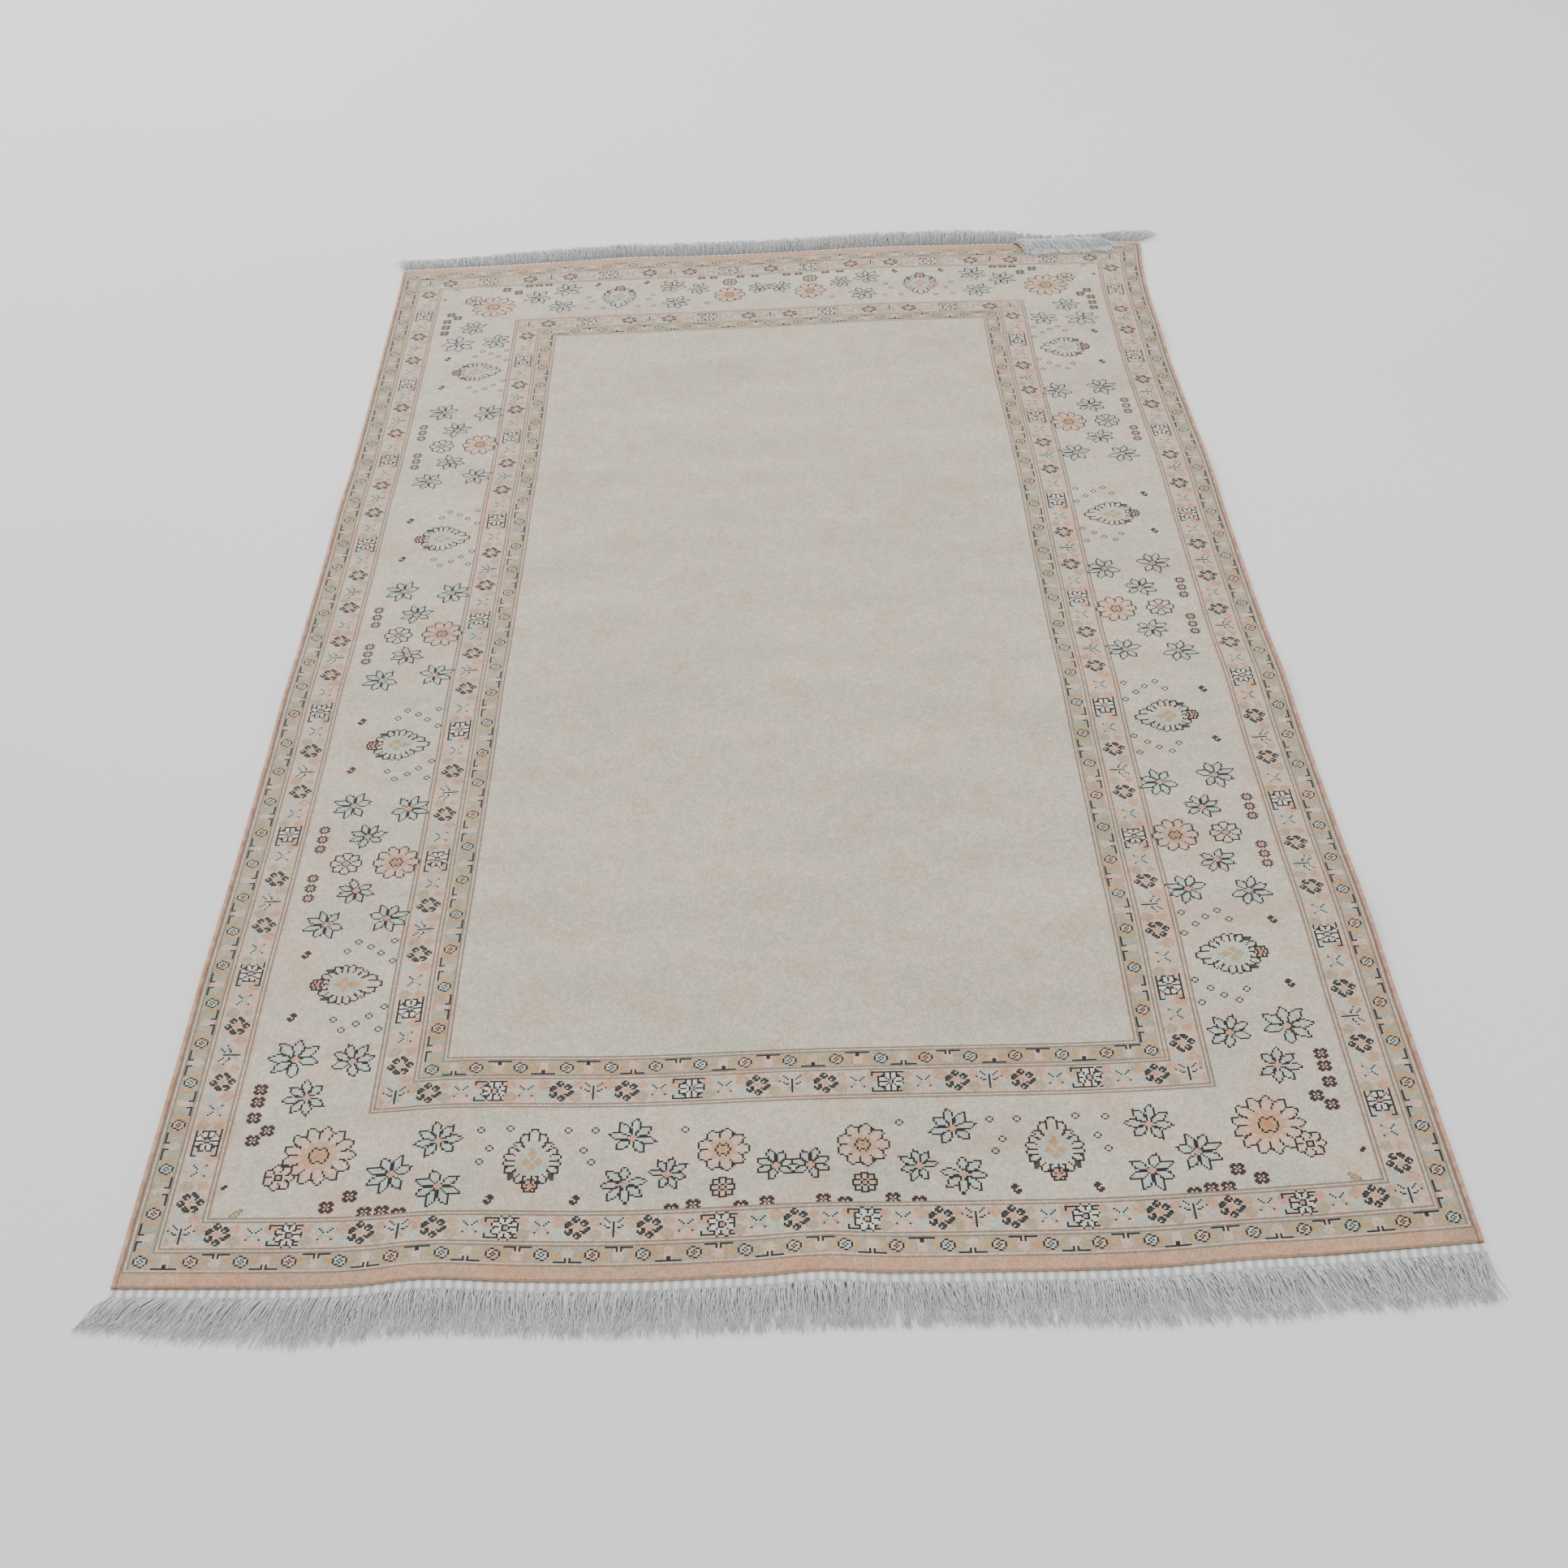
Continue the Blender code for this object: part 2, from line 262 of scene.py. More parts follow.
def smooth(points, closed=False, steps=6):
    """A soft curve through given points."""
    p = np.array(points, float)
    if closed:
        p = np.vstack([p[-1:], p, p[:2]])
    else:
        p = np.vstack([2 * p[:1] - p[1:2], p, 2 * p[-1:] - p[-2:-1]])
    t = np.linspace(0, 1, steps, endpoint=False)[:, None]
    runs = []
    for a, b, c, d in zip(p[:-3], p[1:-2], p[2:-1], p[3:]):
        runs.append(0.5 * (2 * b + (c - a) * t + (2 * a - 5 * b + 4 * c - d) * t ** 2
                           + (3 * b - a - 3 * c + d) * t ** 3))
    if not closed:
        runs.append(p[-2:-1])
    return np.vstack(runs)


def region(area, points, fill=None, edge=None):
    """A shape bounded by a closed run of points."""
    p = np.array(points, float)
    middle = (p.min(0) + p.max(0)) / 2
    corners = p - middle

    def inside(across, along):
        held = np.zeros(across.shape, bool)
        for (x0, y0), (x1, y1) in zip(corners, np.roll(corners, -1, 0)):
            if y0 != y1:
                held ^= ((y0 > along) != (y1 > along)) & (across < (x1 - x0) * (along - y0) / (y1 - y0) + x0)
        return held
    paint(area, *middle, np.abs(corners).max() + 2, inside, fill, edge)


def stroke(area, points, silk, width=1.0):
    """A line through points, one knot wide unless asked."""
    marks = []
    for (u0, v0), (u1, v1) in zip(points[:-1], points[1:]):
        count = int(max(abs(u1 - u0), abs(v1 - v0)) * 2) + 2
        marks.append(np.stack([np.linspace(u0, u1, count), np.linspace(v0, v1, count)], 1))
    marks = np.unique(np.floor(np.vstack(marks)).astype(int), axis=0)
    reach = int(width / 2)
    for du in range(-reach, reach + 1):
        for dv in range(-reach, reach + 1):
            if hypot(du, dv) <= width / 2:
                u, v = marks[:, 0] + du, marks[:, 1] + dv
                held = (u >= area.left) & (u < area.right) & (v >= area.low) & (v < area.high)
                plan[v[held], u[held]] = SILK[silk]


def band(area, points, width, fill, edge):
    """A ribbon or stem along a line, outlined on both sides."""
    stroke(area, points, edge, width + 2)
    stroke(area, points, fill, width)


def stamp(area, u, v, rows, turns=0, mirror=False):
    """A small chart, its first line uppermost, centred at (u, v)."""
    letters = np.array([list(row) for row in rows])[::-1]
    if mirror:
        letters = letters[:, ::-1]
    letters = np.rot90(letters, -turns)
    low, left = round(v - letters.shape[0] / 2), round(u - letters.shape[1] / 2)
    for (dv, du), letter in np.ndenumerate(letters):
        if letter != "." and area.left <= left + du < area.right and area.low <= low + dv < area.high:
            plan[low + dv, left + du] = LETTER[letter]


def mirrored(points, axis):
    """Points given to the right of an upright axis, then again to its left, as a closed outline."""
    right = [(axis + du, v) for du, v in points]
    return right + [(axis - du, v) for du, v in reversed(points)]


# Flowers and leaves that recur
def rosette(area, u, v, radius, petals=8, fill="pearl", edge="ink", heart="peach", turn=0.0):
    """A round flower: lobed petals parted by short lines, round a small heart."""
    disc(area, u, v, radius, fill, edge, petals, 0.22, turn)
    for number in range(petals):
        heading = turn + (number + 0.5) * 360 / petals
        stroke(area, [step_from(u, v, heading, radius * 0.45), step_from(u, v, heading, radius * 0.8)], edge)
    disc(area, u, v, radius * 0.3, heart, edge if radius > 5 else None)


Ray = namedtuple("Ray", "turn reach")
LILY_PETALS = [Ray(-140, 0.82), Ray(140, 0.86), Ray(-92, 0.95), Ray(88, 0.92), Ray(-44, 0.9), Ray(46, 0.96), Ray(0, 1.0)]


def lily(area, u, v, heading, size=14.0, fill="mist", edge="ink", heart="peach", mirror=1):
    """An open lily of seven pointed petals."""
    for ray in LILY_PETALS:
        petal(area, u, v, heading + mirror * ray.turn, size * ray.reach, size * 0.42, fill, edge, 0.56)
    disc(area, u, v, 1.8, heart)


def drop(angle, point):
    """Rim of a drop shape by the angle from its point: 1 all round and longer towards the point."""
    return 1 + point * np.exp(-(angle / 0.42) ** 2)


def palmette(area, u, v, heading, radius=15.0, lobes=19, point=0.42, fill="ivory", inner="mist",
             edge="ink", heart="gold"):
    """A drop-shaped palmette: a frilled rim of small petals round a pale heart with a cross of leaves."""
    def inside_of(scale):
        def inside(across, along):
            ahead, aside = turned(across, along, heading)
            angle = np.arctan2(aside, ahead)
            rim = radius * scale * drop(angle, point) * (0.86 + 0.14 * np.abs(np.cos(lobes * angle / 2)))
            return np.hypot(ahead, aside) <= rim
        return inside
    paint(area, u, v, radius * (1 + point) + 3, inside_of(1.0), fill, edge)
    for number in range(lobes):
        angle = (number + 0.5) * 2 * pi / lobes
        angle = (angle + pi) % (2 * pi) - pi
        rim = radius * float(drop(np.float64(angle), point))
        start, stop = (step_from(u, v, heading + degrees(angle), rim * share) for share in (0.62, 0.88))
        stroke(area, [start, stop], edge)
    paint(area, u, v, radius * (1 + point) + 3, inside_of(0.58), inner)
    for turn, length in ((0, 0.62), (90, 0.4), (180, 0.4), (270, 0.4)):
        petal(area, u, v, heading + turn, radius * length, radius * 0.24, heart)
    foot = step_from(u, v, heading + 180, radius * 0.98)
    for turn in (-55, 55):
        at = step_from(u, v, heading + 180 + turn, radius * 0.7)
        petal(area, *at, heading + 180 + turn * 0.4, radius * 0.4, radius * 0.2, "slate")
    rosette(area, *foot, radius * 0.3, 6, "peach", "ink", "salmon")


def peony(area, u, v, radius, lobes=11, fill="blush", edge="ink", heart="salmon", turn=0.0):
    """A full scalloped flower with two rounds of petals."""
    rosette(area, u, v, radius, lobes, fill, edge, fill, turn)
    disc(area, u, v, radius * 0.55, "peach", None, lobes, 0.3, turn + 180 / lobes)
    disc(area, u, v, radius * 0.3, "gold", edge, 6, 0.25)
    disc(area, u, v, radius * 0.12, heart)


BERRIES = (".ww.ww.", "wwwwwww", "ww.w.ww", ".wwaww.", "ww.w.ww", "wwwwwww", ".ww.ww.")
SPRIG_DOTS = ("..ww.", ".wwww", "..www", "ww.w.", "wwww.", ".ww..")
RING = (".nn.", "n..n", "n..n", ".nn.")
CROSS_BERRIES = ("..w.w..", ".wwwww.", "ww.a.ww", ".waaaw.", "ww.a.ww", ".wwwww.", "..w.w..")


def bands():
    """Nested border bands from the outer edge inwards: name, knots at the sides, knots at the ends."""
    return [("peach_end", 0, 7), ("pin", 3, 2), ("narrow", 9, 9), ("pin", 4, 3), ("wide", 15, 14),
            ("pin", 4, 3), ("main", 64, 61), ("pin", 4, 3), ("wide", 15, 15), ("pin", 4, 3),
            ("narrow", 9, 9), ("pin", 3, 3)]


def frame_of(side, end, wide_side, wide_end):
    """The four strips of a band whose outer edge lies so many knots in from the sides and the ends."""
    near = Area(side, COLUMNS - side, end, end + wide_end)
    far = Area(side, COLUMNS - side, ROWS - end - wide_end, ROWS - end)
    left = Area(side, side + wide_side, end, ROWS - end)
    right = Area(COLUMNS - side - wide_side, COLUMNS - side, end, ROWS - end)
    return near, far, left, right


def fill_area(area, silk):
    plan[area.low:area.high, area.left:area.right] = SILK[silk]


def pin_lines(side, end, wide_side, wide_end):
    """Fine lines between two bands, with a pale one among the grey ones."""
    for inward in range(max(wide_side, wide_end)):
        silk = "taupe" if inward % 2 == 0 else "blush"
        inward_side, inward_end = min(inward, wide_side), min(inward, wide_end)
        for area in frame_of(side + inward_side, end + inward_end, int(inward < wide_side), int(inward < wide_end)):
            fill_area(area, silk)


SMALL_FLOWER = ("..xx...", ".xffxx.", "xffxffx", "xfxhxfx", "xffxffx", ".xxffx.", "...xx..")


def small_flower(area, u, v, fill, heart):
    rows = [row.replace("f", fill).replace("h", heart) for row in SMALL_FLOWER]
    stamp(area, u, v, rows)


def along_strip(area, upright):
    """Turns a place along and across a strip into the plan's own columns and rows."""
    if upright:
        return lambda along, across: (area.left + across, along)
    return lambda along, across: (along, area.low + across)


def narrow_strip(area, upright, count):
    """A narrow guard band: small flowers with gold leaves between bracket lines."""
    fill_area(area, "khaki")
    place = along_strip(area, upright)
    start, stop = (area.low, area.high) if upright else (area.left, area.right)
    across = (area.right - area.left if upright else area.high - area.low) / 2
    first, last = start + across, stop - across
    pitch = (last - first) / count
    for number in range(count + 1):
        at = first + pitch * number
        if number < count:
            middle = at + pitch / 2
            for offset, silk in ((-5.2, "sage"), (0, "blush"), (5.2, "sage")):
                for shift in (-1, 1):
                    u, v = place(middle + offset, across + shift * 1.5)
                    disc(area, u, v, 2.4, silk)
            lead = 1 if number % 2 else -1
            rail = across + lead * 3.6
            ends = (at + 5.5, at + pitch - 5.5)
            for part, hook in ((ends[0], ends[0] + pitch * 0.22), (ends[1] - pitch * 0.22, ends[1])):
                stroke(area, [place(part, rail), place(hook, rail)], "ink")
            stroke(area, [place(ends[0] + pitch * 0.22, rail), place(ends[0] + pitch * 0.22, rail - lead * 2)], "ink")
            stroke(area, [place(ends[1] - pitch * 0.22, rail), place(ends[1] - pitch * 0.22, rail - lead * 2)], "ink")
        for side in (-1, 1):
            u, v = place(at + side * 5.6, across)
            disc(area, u, v, 2.3, "gold")
        u, v = place(at, across)
        small_flower(area, u, v, "b" if number % 2 else "m", "a" if number % 2 else "e")


DARK_SPRIG = (
    "......xx.....",
    ".....xmnx....",
    "..xx.xnnx....",
    ".xnnx.xx.xx..",
    ".xnmx.p.xnnx.",
    "..xx.ppp.xnx.",
    "xx..ppgpp.xx.",
    "xnx.ppp.xx...",
    ".xnnx.p.xnmx.",
    "..xx.xx.xnnx.",
    "....xnnx.xx..",
    "....xnmx.....",
    ".....xx......",
)
LEAF_SPRIG = (
    ".............",
    "...mm...mm...",
    "..mmm...mmm..",
    "..mxmm.mmxm..",
    "...mxm.mxm...",
    "....mxmxm....",
    ".....mmm.....",
    "....ssmss....",
    "...ss.m.ss...",
    "..sx..m..xs..",
    "......m......",
    ".....bbb.....",
    ".............",
)
FAN_SPRIG = (
    "......m......",
    "..x..mmm..x..",
    "..mx.mmm.xm..",
    "...mxmxmxm...",
    "x...mmxmm...x",
    "mmx..mxm..xmm",
    ".mmxx.x.xxmm.",
    "...mmmxmmm...",
    ".....sxs.....",
    "....ssxss....",
    "...ss.x.ss...",
    "......x......",
    ".............",
)


def wide_unit(area, place, at, across, kind, turns, mirror):
    """One motif of the wide guard band."""
    u, v = place(at, across)
    if kind == "R":
        rosette(area, u, v, 7.0, 8, "pearl", "ink", "peach", 22.5)
        for lead in (-1, 1):
            rail = across + lead * (across - 1.2)
            for side in (-1, 1):
                stroke(area, [place(at + side * 4, rail), place(at + side * 9, rail)], "ink")
                stroke(area, [place(at + side * 9, rail), place(at + side * 9, rail - lead * 2)], "ink")
    else:
        rows = {"D": DARK_SPRIG, "Y": LEAF_SPRIG, "F": FAN_SPRIG}[kind]
        stamp(area, u, v, rows, turns, mirror)


def wide_strip(area, upright, count, turns):
    """A wide guard band: rosettes, leaf sprigs and dark sprigs, mirrored about its middle."""
    fill_area(area, "blush")
    place = along_strip(area, upright)
    start, stop = (area.low, area.high) if upright else (area.left, area.right)
    across = (area.right - area.left if upright else area.high - area.low) / 2
    first, last = start + across, stop - across
    pitch = (last - first) / (2 * count)
    order = "FDYRYDFDYRYDFDYRYDFDYRYDFDYRYDFDYRYD"
    for number in range(2 * count + 1):
        at = first + pitch * number
        kind = order[min(number, 2 * count - number)]
        mirror = (number % 2 == 1)
        for side in (-1, 1):
            u, v = place(at + side * pitch / 2, across + side * (across - 3.5))
            disc(area, u, v, 3.2, "mist" if number % 2 else "khaki")
            u, v = place(at + side * pitch / 2, across - side * (across - 3.5))
            disc(area, u, v, 2.6, "peach")
        wide_unit(area, place, at, across, kind, turns, mirror)


def guard_bands():
    """All bands but the main one, each drawn on its four strips."""
    side = end = 0
    outer = True
    for name, wide_side, wide_end in bands():
        strips = frame_of(side, end, wide_side, wide_end)
        near, far, left, right = strips
        if name == "peach_end":
            fill_area(near, "peach")
            fill_area(far, "peach")
        elif name == "pin":
            pin_lines(side, end, wide_side, wide_end)
        elif name == "narrow":
            for strip in (left, right):
                narrow_strip(strip, True, 37 if outer else 28)
            for strip in (near, far):
                narrow_strip(strip, False, 26 if outer else 16)
        elif name == "wide":
            for strip, turns in ((left, 1), (right, 3)):
                wide_strip(strip, True, 26 if outer else 21, turns)
            wide_strip(near, False, 17 if outer else 12, 0)
            wide_strip(far, False, 17 if outer else 12, 2)
        else:
            for strip in strips:
                fill_area(strip, "ivory")
            outer = False
        side, end = side + wide_side, end + wide_end


MAIN = Area(35, COLUMNS - 35, 38, ROWS - 38)
CORNERS = [(1, 1), (-1, 1), (1, -1), (-1, -1)]   # mirror signs: near-left, near-right, far-left, far-right


def corner_place(signs, u, v):
    """A place of the near-left quarter, mirrored into another quarter."""
    return (u if signs[0] > 0 else COLUMNS - u), (v if signs[1] > 0 else ROWS - v)


def corner_heading(signs, heading):
    if signs[0] < 0:
        heading = 180 - heading
    return heading if signs[1] > 0 else -heading


Bloom = namedtuple("Bloom", "u v heading size")
END_LILIES = [Bloom(135, 79, 100, 13), Bloom(138, 52, 250, 13), Bloom(115, 61, 160, 13), Bloom(228, 80, 80, 13),
              Bloom(225, 53, 230, 13), Bloom(245, 58, 30, 11), Bloom(296, 60, 110, 11)]
CORNER_LILIES = [Bloom(57, 135, 130, 15), Bloom(86, 133, 60, 13), Bloom(67, 110, 190, 13)]
SIDE_LILIES = [Bloom(58, -48, 200, 14), Bloom(88, -52, 20, 13), Bloom(69, -74, 250, 12)]
END_BERRIES = [(88, 44), (98, 50), (105, 39), (113, 39), (121, 38), (44, 116), (44, 107), (44, 97), (52, 90), (46, 84),
               (247, 38), (258, 39), (280, 38), (291, 39)]
END_SPRIGS = [(163, 44), (202, 44)]
END_RINGS = [(155, 85), (169, 86), (160, 74), (156, 66), (197, 85), (210, 85), (205, 73), (209, 66), (253, 84)]
SIDE_RINGS = [(77, 31), (84, 27), (96, 31), (97, 16), (72, 24), (90, 22)]
SIDE_PALMETTES = [185, 382, 602, 834]
SIDE_ROSETTES = [279, 493, 725]


def main_border():
    """The main border: palmettes, lilies and rosettes with berry clusters, mirrored in all four quarters."""
    for signs in CORNERS:
        def put(motif, u, v, *rest, **more):
            motif(MAIN, *corner_place(signs, u, v), *rest, **more)
        for u, v in END_BERRIES:
            put(stamp, u, v, BERRIES)
        for u, v in END_SPRIGS:
            put(stamp, u, v, SPRIG_DOTS, mirror=signs[0] < 0)
        for u, v in END_RINGS:
            put(stamp, u, v, RING)
        for bloom in END_LILIES + CORNER_LILIES:
            put(lily, bloom.u, bloom.v, corner_heading(signs, bloom.heading), bloom.size, mirror=signs[0] * signs[1])
        put(palmette, 181, 66, corner_heading(signs, 90), 14.5)
        put(peony, 271, 71, 13, 9)
        put(rosette, 271, 49, 6.5, 8, "blush", "ink", "gold")
        put(peony, 79, 74, 18, 13)
        put(rosette, 62, 61, 8, 7, "blush", "ink", "gold")
        put(petal, 42, 36, corner_heading(signs, 45), 10, 4, "gold", "taupe")
        put(stamp, 38, 56, (".ww", "www", "ww."))
    for left in (True, False):
        def put(motif, u, v, *rest, **more):
            motif(MAIN, u if left else COLUMNS - u, v, *rest, **more)
        turn = 0 if left else 180
        for v in SIDE_PALMETTES:
            put(palmette, 74, v, turn, 14.5)
            for lead in (-1, 1):
                put(stamp, 50, v + lead * 22, SPRIG_DOTS, mirror=not left)
                for u, dv in SIDE_RINGS:
                    put(stamp, u, v + lead * dv, RING)
        for v in SIDE_ROSETTES:
            for lead in (-1, 1):
                for dv in (12, 20, 28):
                    put(stamp, 43, v + lead * dv, CROSS_BERRIES)
                for u, dv, heading, size in ((69, 22, 250, 12), (57, 49, 200, 13), (89, 45, 20, 13)):
                    aim = heading if left else 180 - heading
                    put(lily, u, v + lead * dv, aim if lead < 0 else -aim, size, mirror=lead)
            put(peony, 88, v, 13.5, 10)
            put(rosette, 60, v, 9.5, 8, "ivory", "ink", "gold")


def draw_field():
    """The field inside the borders: nothing is drawn here, so the field keeps the ivory the plan starts with."""


# Materials
def linear(dye):
    """A colour written as sRGB hex, as linear red, green, blue and alpha."""
    parts = [int(dye[at:at + 2], 16) / 255 for at in (1, 3, 5)]
    return tuple(c / 12.92 if c <= 0.04045 else ((c + 0.055) / 1.055) ** 2.4 for c in parts) + (1.0,)


def add_node(tree, kind, settings=None, **links):
    """One node with its settings; links maps an input's name, or its number as in_2, to a value or an output."""
    made = tree.nodes.new(kind)
    for name, value in (settings or {}).items():
        setattr(made, name, value)
    for name, value in links.items():
        socket = made.inputs[int(name[3:])] if name.startswith("in_") else made.inputs[name.replace("_", " ")]
        if isinstance(value, bpy.types.NodeSocket):
            tree.links.new(value, socket)
        else:
            socket.default_value = value
    return made


def new_material(name):
    material = bpy.data.materials.new(name)
    material.use_nodes = True
    tree = material.node_tree
    return material, tree, tree.nodes["Principled BSDF"]


def set_ramp(ramp_node, stops, interpolation="LINEAR"):
    """Give a colour ramp its stops, as (place, linear colour)."""
    ramp = ramp_node.color_ramp
    ramp.interpolation = interpolation
    while len(ramp.elements) > 1:
        ramp.elements.remove(ramp.elements[-1])
    ramp.elements[0].position, ramp.elements[0].color = stops[0]
    for place, colour in stops[1:]:
        ramp.elements.new(place).color = colour


DYE_LOT_AND_NAP_SHEEN_LENGTH = 0.055    # dye lots change over some centimetres along the rug, and the same bands carry painted nap sheen
MOTTLE_SIZE = 0.006      # neighbouring knots take the dye a little unevenly
SHEEN_TINT = "#F6F1EA"


def cut_silk_pile():
    """Dyed silk, knotted and cut short: each knot's tone differs, dye lots drift along the rug with painted nap sheen
    in the same bands, and the standing ends catch the light as a soft sheen with no hard shine."""
    material, tree, shader = new_material("cut_silk_pile")
    silk = add_node(tree, "ShaderNodeAttribute", {"attribute_name": "silk"})
    share = add_node(tree, "ShaderNodeMath", {"operation": "MULTIPLY_ADD"}, in_0=silk.outputs["Fac"],
                     in_1=1 / len(SILKS), in_2=0.5 / len(SILKS))
    dyes = add_node(tree, "ShaderNodeValToRGB", None, Fac=share.outputs[0])
    set_ramp(dyes, [(number / len(SILKS), linear(silk.dye)) for number, silk in enumerate(SILKS)], "CONSTANT")
    knot = add_node(tree, "ShaderNodeAttribute", {"attribute_name": "knot"})
    cell = add_node(tree, "ShaderNodeVectorMath", {"operation": "FLOOR"}, in_0=knot.outputs["Vector"])
    chance = add_node(tree, "ShaderNodeTexWhiteNoise", {"noise_dimensions": "2D"}, Vector=cell.outputs[0])
    knot_tone = add_node(tree, "ShaderNodeMapRange", None, Value=chance.outputs["Value"], To_Min=0.80, To_Max=1.10)
    place = add_node(tree, "ShaderNodeTexCoord")
    stretch = add_node(tree, "ShaderNodeMapping", None, Vector=place.outputs["Object"], Scale=(0.25, 1.0, 1.0))
    # Partly real, partly painted light: the dye-lot drift of abrash, plus painted nap sheen, paler and darker bands
    # where the pile leans
    abrash_and_nap_sheen = add_node(tree, "ShaderNodeTexNoise", None, Vector=stretch.outputs[0], Scale=1 / DYE_LOT_AND_NAP_SHEEN_LENGTH,
                      Detail=3.0, Roughness=0.55)
    abrash_and_nap_sheen_tone = add_node(tree, "ShaderNodeMapRange", None, Value=abrash_and_nap_sheen.outputs["Fac"], From_Min=0.3,
                           From_Max=0.7, To_Min=0.90, To_Max=1.08)
    mottle = add_node(tree, "ShaderNodeTexNoise", None, Vector=place.outputs["Object"], Scale=1 / MOTTLE_SIZE,
                      Detail=2.0)
    mottle_tone = add_node(tree, "ShaderNodeMapRange", None, Value=mottle.outputs["Fac"], From_Min=0.3,
                           From_Max=0.7, To_Min=0.92, To_Max=1.06)
    tones = add_node(tree, "ShaderNodeMath", {"operation": "MULTIPLY"}, in_0=knot_tone.outputs[0],
                     in_1=abrash_and_nap_sheen_tone.outputs[0])
    tones = add_node(tree, "ShaderNodeMath", {"operation": "MULTIPLY"}, in_0=tones.outputs[0],
                     in_1=mottle_tone.outputs[0])
    hue = add_node(tree, "ShaderNodeTexNoise", None, Vector=place.outputs["Object"], Scale=28.0, Detail=2.0)
    tint = add_node(tree, "ShaderNodeValToRGB", None, Fac=hue.outputs["Fac"])
    set_ramp(tint, [(0.35, linear("#F3FBF4")), (0.5, linear("#FFFFFF")), (0.65, linear("#FFF2EA"))])
    tinted = add_node(tree, "ShaderNodeMix", {"data_type": "RGBA", "blend_type": "MULTIPLY"}, in_0=1.0,
                      in_6=dyes.outputs["Color"], in_7=tint.outputs["Color"])
    toned = add_node(tree, "ShaderNodeVectorMath", {"operation": "SCALE"}, in_0=tinted.outputs[2],
                     Scale=tones.outputs[0])
    tree.links.new(toned.outputs[0], shader.inputs["Base Color"])
    part = add_node(tree, "ShaderNodeVectorMath", {"operation": "FRACTION"}, in_0=knot.outputs["Vector"])
    centred = add_node(tree, "ShaderNodeVectorMath", {"operation": "SUBTRACT"}, in_0=part.outputs[0],
                       in_1=(0.5, 0.5, 0.0))
    away = add_node(tree, "ShaderNodeVectorMath", {"operation": "LENGTH"}, in_0=centred.outputs[0])
    dome = add_node(tree, "ShaderNodeMapRange", {"interpolation_type": "SMOOTHSTEP"}, Value=away.outputs["Value"],
                    From_Min=0.2, From_Max=0.62, To_Min=1.0, To_Max=0.0)
    height = add_node(tree, "ShaderNodeMath", {"operation": "MULTIPLY_ADD"}, in_0=chance.outputs["Value"],
                      in_1=0.6, in_2=dome.outputs[0])
    relief = add_node(tree, "ShaderNodeBump", None, Strength=0.45, Distance=0.0006, Height=height.outputs[0])
    tree.links.new(relief.outputs[0], shader.inputs["Normal"])
    shader.inputs["Roughness"].default_value = 0.62
    shader.inputs["IOR"].default_value = 1.5
    shader.inputs["Specular IOR Level"].default_value = 0.35
    shader.inputs["Sheen Weight"].default_value = 0.35
    shader.inputs["Sheen Roughness"].default_value = 0.4
    shader.inputs["Sheen Tint"].default_value = linear(SHEEN_TINT)
    return material


def cotton_foundation():
    """Twisted warps packed with wefts, seen from the back as fine rows of knot collars, with painted shade in the low
    ground between the rows.
    """
    material, tree, shader = new_material("knotted_cotton_foundation")
    place = add_node(tree, "ShaderNodeTexCoord")
    rows = add_node(tree, "ShaderNodeTexWave", {"bands_direction": "Y"}, Vector=place.outputs["Object"],
                    Scale=1 / (KNOT * 20), Distortion=0.6, Detail=1.0)
    patches = add_node(tree, "ShaderNodeTexNoise", None, Vector=place.outputs["Object"], Scale=60.0, Detail=3.0)
    dyes = add_node(tree, "ShaderNodeValToRGB", None, Fac=patches.outputs["Fac"])
    set_ramp(dyes, [(0.35, linear("#B5AE9C")), (0.5, linear("#CDBFA9")), (0.65, linear("#CFA68B"))])
    # Painted shade: darker where the rows' bump is low
    shade = add_node(tree, "ShaderNodeMapRange", None, Value=rows.outputs["Fac"], To_Min=0.75, To_Max=1.0)
    toned = add_node(tree, "ShaderNodeVectorMath", {"operation": "SCALE"}, in_0=dyes.outputs["Color"],
                     Scale=shade.outputs[0])
    tree.links.new(toned.outputs[0], shader.inputs["Base Color"])
    relief = add_node(tree, "ShaderNodeBump", None, Strength=0.5, Distance=0.0004, Height=rows.outputs["Fac"])
    tree.links.new(relief.outputs[0], shader.inputs["Normal"])
    shader.inputs["Roughness"].default_value = 0.85
    return material


def overcast_silk():
    """Peach silk wound close round the edge cord: fine turns, with painted shade darkening the groove between them."""
    material, tree, shader = new_material("wound_peach_silk")
    place = add_node(tree, "ShaderNodeTexCoord")
    turns = add_node(tree, "ShaderNodeAttribute", {"attribute_name": "turn"})
    tone = add_node(tree, "ShaderNodeTexNoise", None, Vector=place.outputs["Object"], Scale=140.0, Detail=3.0)
    dyes = add_node(tree, "ShaderNodeValToRGB", None, Fac=tone.outputs["Fac"])
    set_ramp(dyes, [(0.3, linear("#B57F63")), (0.5, linear("#CB9A7E")), (0.7, linear("#DDB79F"))])
    # Painted shade: each turn is darker down in the groove between turns and a little lighter on its crown
    shade = add_node(tree, "ShaderNodeMapRange", None, Value=turns.outputs["Fac"], To_Min=0.62, To_Max=1.05)
    toned = add_node(tree, "ShaderNodeVectorMath", {"operation": "SCALE"}, in_0=dyes.outputs["Color"],
                     Scale=shade.outputs[0])
    tree.links.new(toned.outputs[0], shader.inputs["Base Color"])
    shader.inputs["Roughness"].default_value = 0.55
    shader.inputs["IOR"].default_value = 1.5
    shader.inputs["Sheen Weight"].default_value = 0.3
    shader.inputs["Sheen Roughness"].default_value = 0.4
    return material


